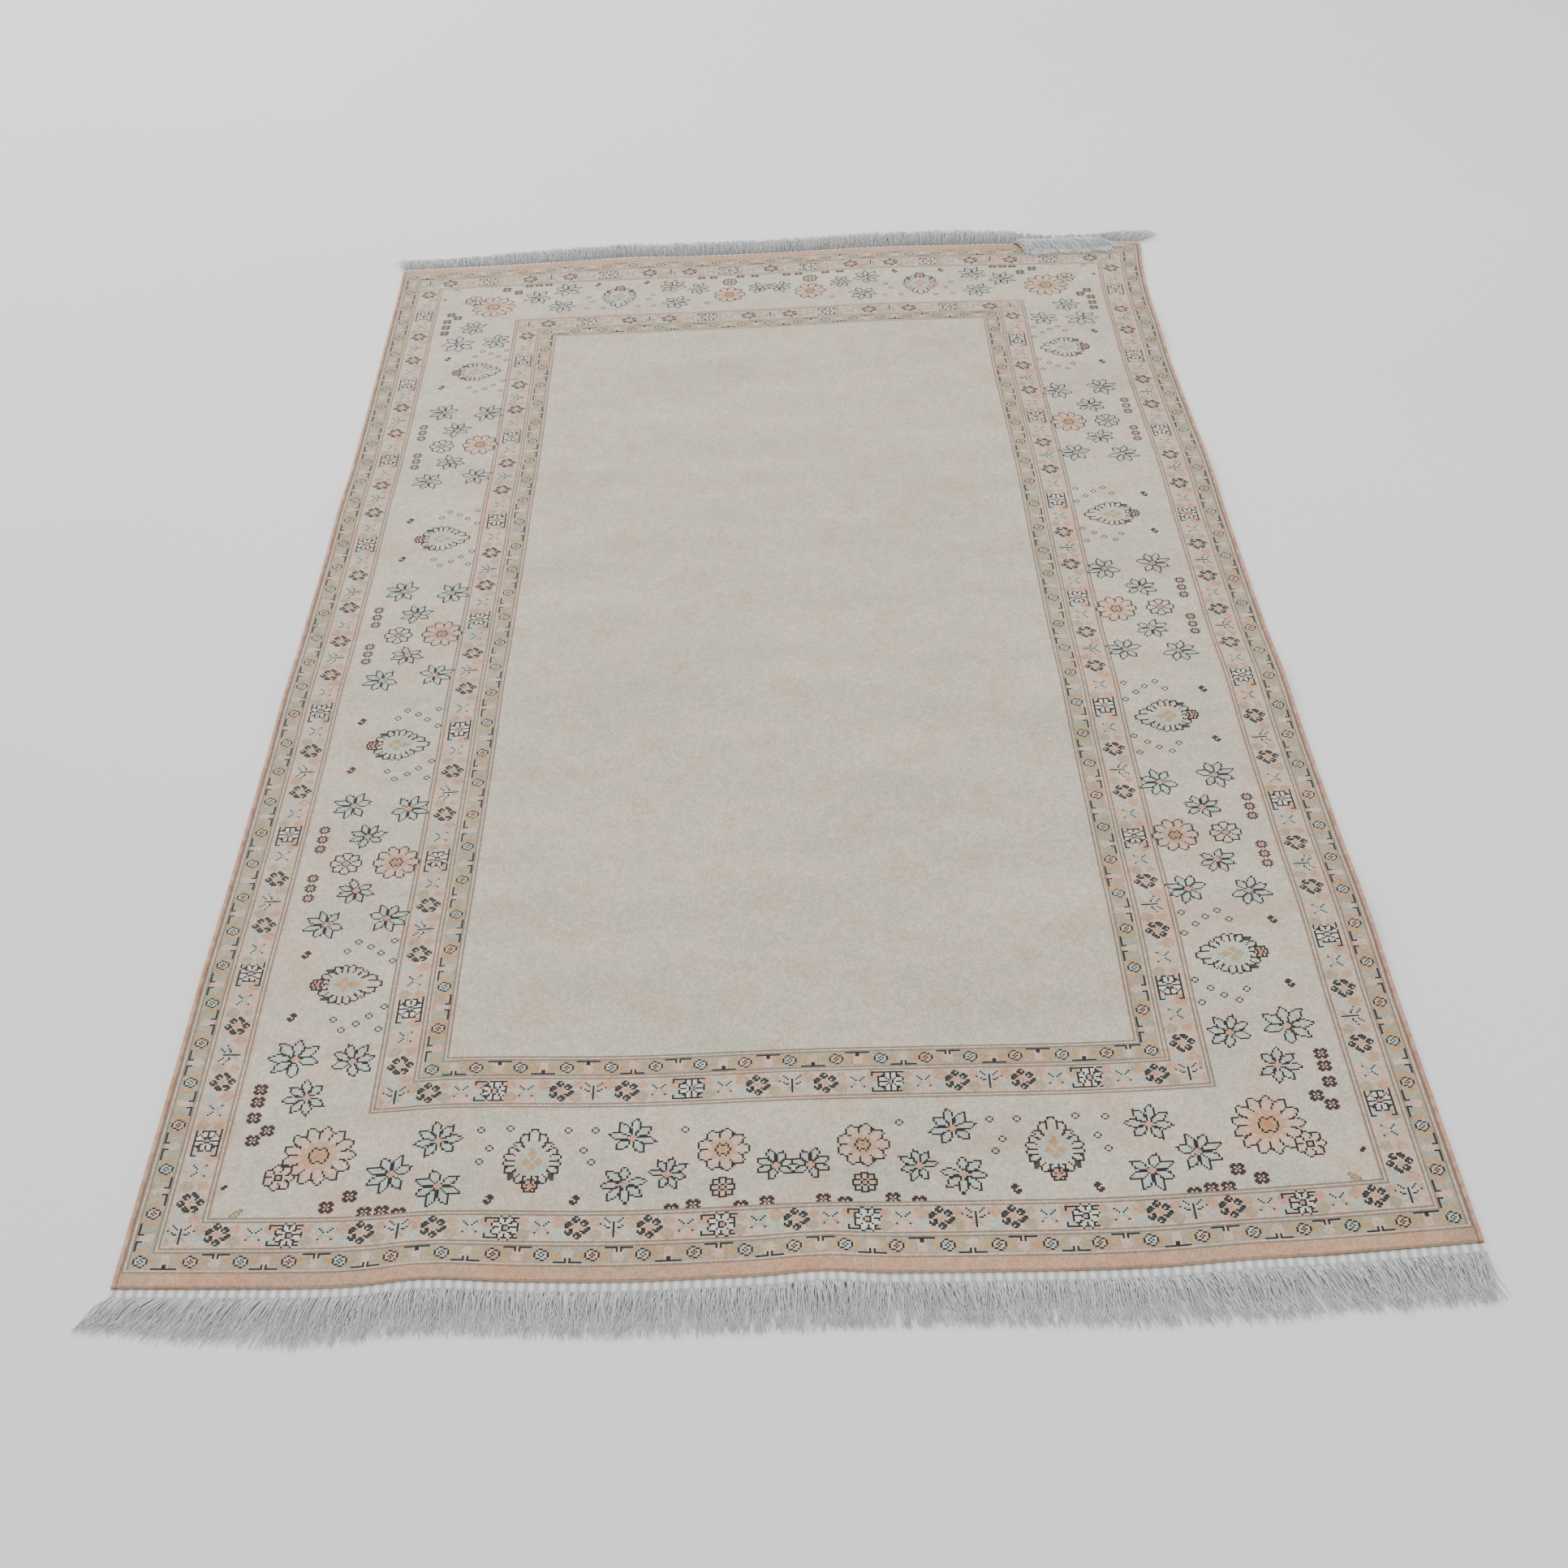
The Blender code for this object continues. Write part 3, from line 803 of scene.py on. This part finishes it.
def woven_silk_end():
    """White silk woven as a narrow flat strip: a close plain weave with a row of small stitches, and painted shade in
    the weave's hollows.
    """
    material, tree, shader = new_material("woven_white_silk_end")
    place = add_node(tree, "ShaderNodeTexCoord")
    weave = add_node(tree, "ShaderNodeTexWave", {"bands_direction": "X"}, Vector=place.outputs["Object"],
                     Scale=1 / (0.0011 * 20), Distortion=1.2, Detail=2.0)
    # Painted shade: cool grey in the hollows of the weave, where the bump is low, and white on its ridges
    dyes = add_node(tree, "ShaderNodeValToRGB", None, Fac=weave.outputs["Fac"])
    set_ramp(dyes, [(0.2, linear("#BFC1C3")), (0.6, linear("#E9E7E3")), (1.0, linear("#F5F3EF"))])
    tree.links.new(dyes.outputs["Color"], shader.inputs["Base Color"])
    relief = add_node(tree, "ShaderNodeBump", None, Strength=0.6, Distance=0.0005, Height=weave.outputs["Fac"])
    tree.links.new(relief.outputs[0], shader.inputs["Normal"])
    shader.inputs["Roughness"].default_value = 0.6
    shader.inputs["IOR"].default_value = 1.5
    return material


def loose_silk_warp():
    """Undyed silk warp ends, lightly twisted: near white, each strand a random tone down to a bluish grey that is
    painted shade among the strands, with a soft silky shine.
    """
    material, tree, shader = new_material("loose_white_silk_warp")
    tone = add_node(tree, "ShaderNodeAttribute", {"attribute_name": "strand"})
    # Random tone per strand; the bluish-grey low end of this ramp is painted shade
    dyes = add_node(tree, "ShaderNodeValToRGB", None, Fac=tone.outputs["Fac"])
    set_ramp(dyes, [(0.0, linear("#C9CDD2")), (0.35, linear("#E2E4E6")), (1.0, linear("#F4F3F0"))])
    place = add_node(tree, "ShaderNodeTexCoord")
    ply = add_node(tree, "ShaderNodeTexNoise", None, Vector=place.outputs["Object"], Scale=900.0, Detail=1.0)
    shade = add_node(tree, "ShaderNodeMapRange", None, Value=ply.outputs["Fac"], To_Min=0.85, To_Max=1.05)
    toned = add_node(tree, "ShaderNodeVectorMath", {"operation": "SCALE"}, in_0=dyes.outputs["Color"],
                     Scale=shade.outputs[0])
    tree.links.new(toned.outputs[0], shader.inputs["Base Color"])
    shader.inputs["Roughness"].default_value = 0.5
    shader.inputs["IOR"].default_value = 1.5
    shader.inputs["Sheen Weight"].default_value = 0.2
    return material


def matt_white_board():
    """A white painted board: even and matt, with the faintest unevenness."""
    material, tree, shader = new_material("matt_white_board")
    place = add_node(tree, "ShaderNodeTexCoord")
    tone = add_node(tree, "ShaderNodeTexNoise", None, Vector=place.outputs["Object"], Scale=2.0)
    dyes = add_node(tree, "ShaderNodeValToRGB", None, Fac=tone.outputs["Fac"])
    set_ramp(dyes, [(0.3, linear("#F8F8F8")), (0.7, linear("#FBFBFB"))])
    tree.links.new(dyes.outputs["Color"], shader.inputs["Base Color"])
    shader.inputs["Roughness"].default_value = 0.9
    return material


# Meshes
def make_piece(name, points, corners, sides, material, node, measures=None):
    """A mesh piece from its points and faces, all of one number of sides, riding on the rug."""
    mesh = bpy.data.meshes.new(name)
    mesh.vertices.add(len(points))
    mesh.vertices.foreach_set("co", np.asarray(points, np.float32).ravel())
    mesh.loops.add(len(corners) * sides)
    mesh.loops.foreach_set("vertex_index", np.asarray(corners, np.int32).ravel())
    mesh.polygons.add(len(corners))
    mesh.polygons.foreach_set("loop_start", np.arange(0, len(corners) * sides, sides, dtype=np.int32))
    mesh.update(calc_edges=True)
    for label, domain, kind, values in measures or []:
        attribute = mesh.attributes.new(label, kind, domain)
        attribute.data.foreach_set("vector" if kind == "FLOAT_VECTOR" else "value",
                                   np.asarray(values, np.float32).ravel())
    mesh.shade_smooth()
    mesh.materials.append(material)
    piece = bpy.data.objects.new(name, mesh)
    bpy.context.scene.collection.objects.link(piece)
    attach(piece, "root")
    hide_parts(node)
    return piece


def row_of_quads(rings, around, closed=True):
    """Faces between rings of points, each ring with so many points."""
    step = np.arange(around if closed else around - 1)
    following = (step + 1) % around
    base = np.arange(rings - 1)[:, None] * around
    return np.stack([base + step, base + following, base + following + around, base + step + around], -1).reshape(-1, 4)


LONGEST_RUN = 16         # knots in one face, so that the pile still follows the ridges
ZONES = {                # areas of the rug that are built as one mesh each
    "pile_border_near": Area(0, 608, 0, 132),
    "pile_border_far": Area(0, 608, 882, 1014),
    "pile_border_left": Area(0, 134, 132, 882),
    "pile_border_right": Area(474, 608, 132, 882),
    "pile_field_near": Area(134, 474, 132, 507),
    "pile_field_far": Area(134, 474, 507, 882),
}
SKIRT = 0.0012           # the pile's rim, down to the foundation


def knit_pile(material):
    """Build the knot plan as meshes. Each row's knots of one silk are a run, and
    the line between two rows carries the corners of both, so that no gap opens."""
    run_starts = np.ones((ROWS, COLUMNS + 1), bool)
    run_starts[:, 1:-1] = plan[:, 1:] != plan[:, :-1]
    run_starts[:, ::LONGEST_RUN] = True
    for zone in ZONES.values():
        run_starts[:, [zone.left, zone.right]] = True
    corners = np.zeros((ROWS + 1, COLUMNS + 1), bool)
    corners[:-1] |= run_starts
    corners[1:] |= run_starts
    columns = np.broadcast_to(np.arange(COLUMNS + 1), run_starts.shape)
    first = np.maximum.accumulate(np.where(run_starts, columns, 0), axis=1)
    after = np.where(run_starts, columns, COLUMNS)
    last = np.minimum.accumulate(after[:, ::-1], axis=1)[:, ::-1]
    line, start = np.nonzero(corners[:, :-1])
    stop = np.minimum.accumulate(np.where(corners, np.broadcast_to(np.arange(COLUMNS + 1), corners.shape),
                                          COLUMNS)[:, ::-1], axis=1)[:, ::-1][line, start + 1]
    grid_u, grid_v = np.meshgrid(np.arange(COLUMNS + 1), np.arange(ROWS + 1))
    x, y = slab_point(grid_u / COLUMNS, grid_v / ROWS)
    z = rise(x, y) + PILE_THICKNESS
    number = grid_v * (COLUMNS + 1) + grid_u
    up = line < ROWS                     # this line is the lower side of a row
    row = line[up]
    lower = np.stack([number[row + 1, last[row, start[up] + 1]], number[row, start[up]], number[row, stop[up]]], 1)
    lower_silk, lower_at = plan[row, start[up]], (start[up], row)
    down = line > 0                      # and the upper side of the row below it
    row = line[down] - 1
    upper = np.stack([number[row, first[row, start[down]]], number[row + 1, stop[down]],
                      number[row + 1, start[down]]], 1)
    faces = np.vstack([lower, upper])
    silks = np.concatenate([lower_silk, plan[row, start[down]]])
    at_u = np.concatenate([lower_at[0], start[down]])
    at_v = np.concatenate([lower_at[1], row])
    pieces = []
    for name, zone in ZONES.items():
        held = (at_u >= zone.left) & (at_u < zone.right) & (at_v >= zone.low) & (at_v < zone.high)
        used, faces_here = np.unique(faces[held], return_inverse=True)
        faces_here = faces_here.reshape(-1, 3)
        u, v = used % (COLUMNS + 1), used // (COLUMNS + 1)
        points = np.stack([x[v, u], y[v, u], z[v, u]], 1)
        knots = np.stack([u, v, np.zeros(len(u))], 1)
        zone_silks = silks[held]
        points, knots, faces_here, zone_silks = add_skirt(points, knots, faces_here, zone_silks)
        pieces.append(make_piece(name, points, faces_here, 3, material, "rug_body",
                                 [("silk", "FACE", "FLOAT", zone_silks), ("knot", "POINT", "FLOAT_VECTOR", knots)]))
    return pieces


def add_skirt(points, knots, faces, silks):
    """Turn the pile down to the foundation along the rug's own edges."""
    edges = np.concatenate([faces[:, [0, 1]], faces[:, [1, 2]], faces[:, [2, 0]]])
    owner = np.tile(np.arange(len(faces)), 3)
    u, v = knots[:, 0], knots[:, 1]
    a, b = edges[:, 0], edges[:, 1]
    rim = np.zeros(len(edges), bool)
    for values, limit in ((u, 0), (u, COLUMNS), (v, 0), (v, ROWS)):
        rim |= (values[a] == limit) & (values[b] == limit)
    a, b, owner = a[rim], b[rim], owner[rim]
    top = np.unique(np.concatenate([a, b]))
    below = np.zeros(len(points), int)
    below[top] = len(points) + np.arange(len(top))
    lowered = points[top] - np.array([0.0, 0.0, SKIRT])
    points, knots = np.vstack([points, lowered]), np.vstack([knots, knots[top]])
    faces = np.vstack([faces, np.stack([b, a, below[a]], 1), np.stack([b, below[a], below[b]], 1)])
    return points, knots, faces, np.concatenate([silks, silks[owner], silks[owner]])


FOUNDATION_STEPS = (76, 127)
FOUNDATION_DROP = 0.0009    # from the pile's surface down to the foundation's top


def weave_foundation(material):
    """The foundation: a closed sheet with the rug's whole outline, under the pile."""
    across, along = FOUNDATION_STEPS
    share_u, share_v = np.meshgrid(np.linspace(0, 1, across + 1), np.linspace(0, 1, along + 1))
    x, y = slab_point(share_u, share_v)
    under = rise(x, y)
    top = under + PILE_THICKNESS - FOUNDATION_DROP
    count = x.size
    points = np.vstack([np.stack([x, y, z], -1).reshape(-1, 3) for z in (under, top)])
    number = np.arange(count).reshape(x.shape)
    cells = np.stack([number[:-1, :-1], number[:-1, 1:], number[1:, 1:], number[1:, :-1]], -1).reshape(-1, 4)
    rim = np.concatenate([number[0, :-1], number[:-1, -1], number[-1, :0:-1], number[:0:-1, 0]])
    following = np.roll(rim, -1)
    walls = np.stack([rim, following, following + count, rim + count], 1)
    faces = np.vstack([cells[:, ::-1], cells + count, walls])
    return make_piece("foundation", points, faces, 4, material, "rug_body")


WRAP = 0.0013            # width of one turn of silk round the edge cord
RINGS_PER_WRAP = 3
CORD_SIDES = 8
WRAP_SLANT = 0.35        # how far round the cord a turn climbs, as a share of a wrap


def wind_side_cord(name, side, material):
    """A side cord with every turn of its silk."""
    rings = int(LENGTH / WRAP) * RINGS_PER_WRAP
    along = np.linspace(0, 1, rings + 1)
    x, y = slab_point(np.full(rings + 1, 0.0 if side < 0 else 1.0), along)
    x = x + side * (GAP + CORD_RADIUS)
    z = rise(x, y) + CORD_RADIUS
    angle = np.arange(CORD_SIDES) * 2 * pi / CORD_SIDES
    phase = (np.arange(rings + 1)[:, None] / RINGS_PER_WRAP + WRAP_SLANT * np.sin(angle)) % 1.0
    crown = np.sin(pi * phase) ** 0.6
    radius = CORD_RADIUS * (0.84 + 0.15 * crown)
    points = np.stack([x[:, None] + radius * np.cos(angle), np.broadcast_to(y[:, None], radius.shape),
                       z[:, None] + radius * np.sin(angle)], -1).reshape(-1, 3)
    points[:, 2] = np.maximum(points[:, 2], 0.0)
    faces = row_of_quads(rings + 1, CORD_SIDES)[:, ::-1]
    triangles = np.vstack([faces[:, [0, 1, 2]], faces[:, [0, 2, 3]]])
    last = rings * CORD_SIDES
    fan = np.arange(1, CORD_SIDES - 1)
    caps = np.vstack([np.stack([np.zeros_like(fan), fan + 1, fan], 1)[:, ::-1],
                      np.stack([np.full_like(fan, last), last + fan, last + fan + 1], 1)[:, ::-1]])
    # The turn attribute is each turn's crown, from which the material paints shade into the grooves
    return make_piece(name, points, np.vstack([triangles, caps]), 3, material, name,
                      [("turn", "POINT", "FLOAT", crown.ravel())])


NearLock = namedtuple("NearLock", "across length lean")
NEAR_LOCKS = [
    NearLock(-0.460, 0.029, -0.80),
    NearLock(-0.420, 0.033, -0.70),
    NearLock(-0.360, 0.037, -0.45),
    NearLock(-0.310, 0.036, -0.22),
    NearLock(-0.220, 0.033, -0.06),
    NearLock(-0.120, 0.034, -0.08),
    NearLock(0.000, 0.034, -0.02),
    NearLock(0.130, 0.033, 0.10),
    NearLock(0.270, 0.037, 0.24),
    NearLock(0.380, 0.038, 0.34),
    NearLock(0.430, 0.037, 0.16),
    NearLock(0.460, 0.036, -0.06),
]
FarLock = namedtuple("FarLock", "across length crest lean")
FAR_LOCKS = [
    FarLock(-0.460, 0.030, 0.007, -0.45),
    FarLock(-0.400, 0.028, 0.006, -0.20),
    FarLock(-0.310, 0.034, 0.008, -0.05),
    FarLock(-0.200, 0.036, 0.010, -0.08),
    FarLock(-0.050, 0.034, 0.010, 0.02),
    FarLock(0.100, 0.035, 0.011, 0.05),
    FarLock(0.250, 0.034, 0.012, 0.10),
    FarLock(0.296, 0.028, 0.011, 0.30),
    FarLock(0.340, 0.014, 0.009, 0.45),
    FarLock(0.402, 0.018, 0.009, 0.75),
    FarLock(0.430, 0.030, 0.009, 0.95),
    FarLock(0.460, 0.034, 0.008, 1.05),
]
FOLDED_BACK = (0.302, 0.398)     # here the far fringe's longer strands lie over the rug
FOLDED_LENGTH = 0.046
FOLDED_HEADING = radians(-46)
FOLDED_CREST = 0.0098
SEED = 7


def make_strands(name, roots, headings, lengths, heights, radii, node, material, chance, swirl=0.10):
    """Loose warp ends as tapered three-sided strands.

    roots are points, headings are floor angles, and heights gives each strand's
    height over the floor at even shares of its length.
    """
    count, steps = heights.shape
    share = np.linspace(0, 1, steps)
    wave = chance.uniform(0, 2 * pi, (count, 1)) + share * chance.uniform(2.0, 6.0, (count, 1))
    sway = swirl * lengths[:, None] * np.sin(wave) * share * 0.6
    sway += swirl * lengths[:, None] * chance.normal(0, 0.8, (count, 1)) * share ** 2
    ahead = np.stack([np.cos(headings), np.sin(headings)], 1)
    aside = np.stack([-ahead[:, 1], ahead[:, 0]], 1)
    run = lengths[:, None] * share
    spine = np.empty((count, steps, 3))
    for axis in (0, 1):
        spine[:, :, axis] = roots[:, axis, None] + ahead[:, axis, None] * run + aside[:, axis, None] * sway
    spine[:, :, 2] = heights
    along = np.gradient(spine, axis=1)
    along /= np.linalg.norm(along, axis=2, keepdims=True)
    side = np.cross(along, np.array([0.0, 0.0, 1.0]))
    side /= np.maximum(np.linalg.norm(side, axis=2, keepdims=True), 1e-6)
    over = np.cross(side, along)
    taper = radii[:, None] * (1 - 0.55 * share ** 2)
    points = np.empty((count, steps, 3, 3))
    for corner in range(3):
        angle = corner * 2 * pi / 3 + pi / 2
        points[:, :, corner] = spine + taper[..., None] * (side * cos(angle) + over * sin(angle))
    points[..., 2] = np.maximum(points[..., 2], 0.0)
    quads = row_of_quads(steps, 3)
    triangles = np.vstack([quads[:, [0, 1, 2]], quads[:, [0, 2, 3]], [[0, 2, 1]],
                           [[3 * steps - 3, 3 * steps - 2, 3 * steps - 1]]])
    faces = (np.arange(count)[:, None, None] * steps * 3 + triangles).reshape(-1, 3)
    # Each strand's random tone, whose low end the material turns into painted shade
    tone = np.repeat(chance.uniform(0, 1, count), steps * 3)
    return make_piece(name, points.reshape(-1, 3), faces, 3, material, node,
                      [("strand", "POINT", "FLOAT", tone)])


def strip_edge(end, x):
    """The y of the end strip's outer side."""
    return end_y(end, x) + end * (GAP + STRIP_WIDTH)


def near_fringe(material):
    chance = np.random.default_rng(SEED)
    count, steps = 2600, 8
    x = np.linspace(-WIDTH / 2 + 0.001, WIDTH / 2 - 0.001, count) + chance.normal(0, 0.0006, count)
    x = np.clip(x, -WIDTH / 2 + 0.0006, WIDTH / 2 - 0.0006)
    lean = read_table(NEAR_LOCKS, "lean", x) + chance.normal(0, 0.13, count)
    tuft = 0.10 * np.sin(x / 0.017 + 2.0 * np.sin(x / 0.061))
    headings = np.arctan2(-1.0, lean + tuft)
    lengths = read_table(NEAR_LOCKS, "length", x) * chance.uniform(0.86, 1.13, count)
    layer = chance.uniform(0, 1, count)
    lift = rise(x, np.full(count, -LENGTH / 2))
    root_z = lift + 0.0006 + layer * 0.0014
    share = np.linspace(0, 1, steps)
    rest = 0.0005 + layer * 0.0016
    hump = (0.0006 + 0.0022 * layer) * np.sin(pi * 0.5)
    heights = root_z[:, None] * (1 - share) ** 2 + rest[:, None] * (1 - (1 - share) ** 2)
    heights += hump[:, None] * np.sin(pi * np.minimum(share * 1.6, 1.0))
    roots = np.stack([x, strip_edge(-1, x) + 0.0006], 1)
    radii = chance.uniform(0.00034, 0.00058, count)
    return make_strands("fringe_near_strands", roots, headings, lengths, heights, radii, "fringe_near",
                        material, chance)


def far_fringe(material):
    chance = np.random.default_rng(SEED + 1)
    count, steps = 2800, 9
    x = np.linspace(-WIDTH / 2 + 0.001, WIDTH / 2 - 0.001, count) + chance.normal(0, 0.0006, count)
    x = np.clip(x, -WIDTH / 2 + 0.0006, WIDTH / 2 - 0.0006)
    lean = read_table(FAR_LOCKS, "lean", x) + chance.normal(0, 0.22, count)
    headings = np.arctan2(1.0, lean)
    lengths = read_table(FAR_LOCKS, "length", x) * chance.uniform(0.8, 1.12, count)
    layer = chance.uniform(0, 1, count)
    crest = read_table(FAR_LOCKS, "crest", x) * (0.25 + 0.85 * layer)
    lift = rise(x, np.full(count, LENGTH / 2))
    share = np.linspace(0, 1, steps)
    root_z = lift + 0.0006 + 0.0016 * layer
    arch = np.sin(pi * np.clip(share, 0, 1) ** 0.75)
    heights = root_z[:, None] * (1 - share) + 0.0006 * share + crest[:, None] * arch
    roots = np.stack([x, strip_edge(1, x) - 0.0006], 1)
    radii = chance.uniform(0.00034, 0.00060, count)
    return make_strands("fringe_far_strands", roots, headings, lengths, heights, radii, "fringe_far",
                        material, chance, swirl=0.16)


def folded_fringe(material):
    """The stretch of the far fringe that has been flicked back over the rug."""
    chance = np.random.default_rng(SEED + 2)
    count, steps = 520, 9
    tufts = 4
    which = chance.integers(0, tufts, count)
    width = (FOLDED_BACK[1] - FOLDED_BACK[0]) / tufts
    x = FOLDED_BACK[0] + (which + chance.uniform(0, 1, count)) * width
    headings = FOLDED_HEADING + chance.normal(0, 0.16, count) + 0.10 * (which - 1.5)
    lengths = FOLDED_LENGTH * chance.uniform(0.72, 1.05, count)
    layer = chance.uniform(0, 1, count)
    share = np.linspace(0, 1, steps)
    floor = PILE_THICKNESS + 0.0012
    crest = FOLDED_CREST * (0.75 + 0.3 * layer)
    heights = floor + 0.0035 * layer[:, None] * (1 - share) + (crest[:, None] - floor) * np.sin(
        pi * np.clip(share * 1.25 + 0.06, 0, 1))
    heights[:, 0] = STRIP_THICKNESS
    roots = np.stack([x, end_y(1, x) + 0.0040], 1)
    radii = chance.uniform(0.00034, 0.00058, count)
    return make_strands("fringe_far_folded", roots, headings, lengths, heights, radii, "fringe_far",
                        material, chance, swirl=0.12)


def woven_end(name, end, node, material):
    """The narrow woven strip that holds the warp ends, with a small scalloped swell at each stitch."""
    steps, profile = 920, 6
    x = np.linspace(-WIDTH / 2, WIDTH / 2, steps + 1)
    base = rise(x, np.full(steps + 1, end * LENGTH / 2))
    inner = end_y(end, x) + end * GAP
    swell = 0.5 + 0.5 * np.cos(x / 0.0030 * 2 * pi)
    outline = np.array([(0.0, 0.0), (0.0, 0.75), (0.22, 1.0), (0.78, 0.92), (1.0, 0.55), (1.0, 0.0)])
    points = np.empty((steps + 1, profile, 3))
    for corner, (out, up) in enumerate(outline):
        points[:, corner, 0] = x
        points[:, corner, 1] = inner + end * out * STRIP_WIDTH
        points[:, corner, 2] = base + up * STRIP_THICKNESS * (1 - 0.22 * swell * (0.2 < out < 0.9))
    faces = row_of_quads(steps + 1, profile)
    if end < 0:
        faces = faces[:, ::-1]
    fan = np.arange(1, profile - 1)
    last = steps * profile
    caps_a = np.stack([np.zeros_like(fan), fan, fan + 1], 1)
    caps_b = np.stack([np.full_like(fan, last), last + fan + 1, last + fan], 1)
    caps = np.vstack([caps_a, caps_b])
    if end < 0:
        caps = caps[:, ::-1]
    triangles = np.vstack([faces[:, [0, 1, 2]], faces[:, [0, 2, 3]], caps])
    return make_piece(name, points.reshape(-1, 3), triangles, 3, material, node)


# Floor and light
def lay_floor():
    mesh = bpy.data.meshes.new("floor")
    half = 14.0
    mesh.from_pydata([(-half, -half, 0), (half, -half, 0), (half, half, 0), (-half, half, 0)], [], [(0, 1, 2, 3)])
    mesh.materials.append(matt_white_board())
    floor = bpy.data.objects.new("floor", mesh)
    floor.location.z = -0.0002
    bpy.context.scene.collection.objects.link(floor)


def add_light(name, place, aim, size, watts):
    data = bpy.data.lights.new(name, "AREA")
    data.shape = "SQUARE"
    data.size = size
    data.energy = watts
    lamp = bpy.data.objects.new(name, data)
    lamp.location = place
    lamp.rotation_mode = "QUATERNION"
    lamp.rotation_quaternion = (Vector(aim) - Vector(place)).to_track_quat("-Z", "Y")
    bpy.context.scene.collection.objects.link(lamp)


def light_studio():
    world = bpy.data.worlds.new("studio")
    world.use_nodes = True
    world.node_tree.nodes["Background"].inputs["Color"].default_value = (1.0, 1.0, 1.0, 1.0)
    world.node_tree.nodes["Background"].inputs["Strength"].default_value = 0.85
    bpy.context.scene.world = world
    add_light("window_far_left", (-1.6, 2.6, 2.2), (0, 0, 0), 1.6, 60)
    add_light("overhead", (0.3, 0.4, 3.0), (0, 0, 0), 2.5, 35)


def main():
    make_camera()
    plan[:] = SILK["ivory"]
    guard_bands()
    main_border()
    draw_field()
    foundation = weave_foundation(cotton_foundation())
    pile = knit_pile(cut_silk_pile())
    wound = overcast_silk()
    cords = [wind_side_cord("side_cord_left", -1, wound), wind_side_cord("side_cord_right", 1, wound)]
    woven, loose = woven_silk_end(), loose_silk_warp()
    fringes = [woven_end("fringe_near_strip", -1, "fringe_near", woven),
               woven_end("fringe_far_strip", 1, "fringe_far", woven),
               near_fringe(loose), far_fringe(loose), folded_fringe(loose)]
    lay_floor()
    light_studio()


main()
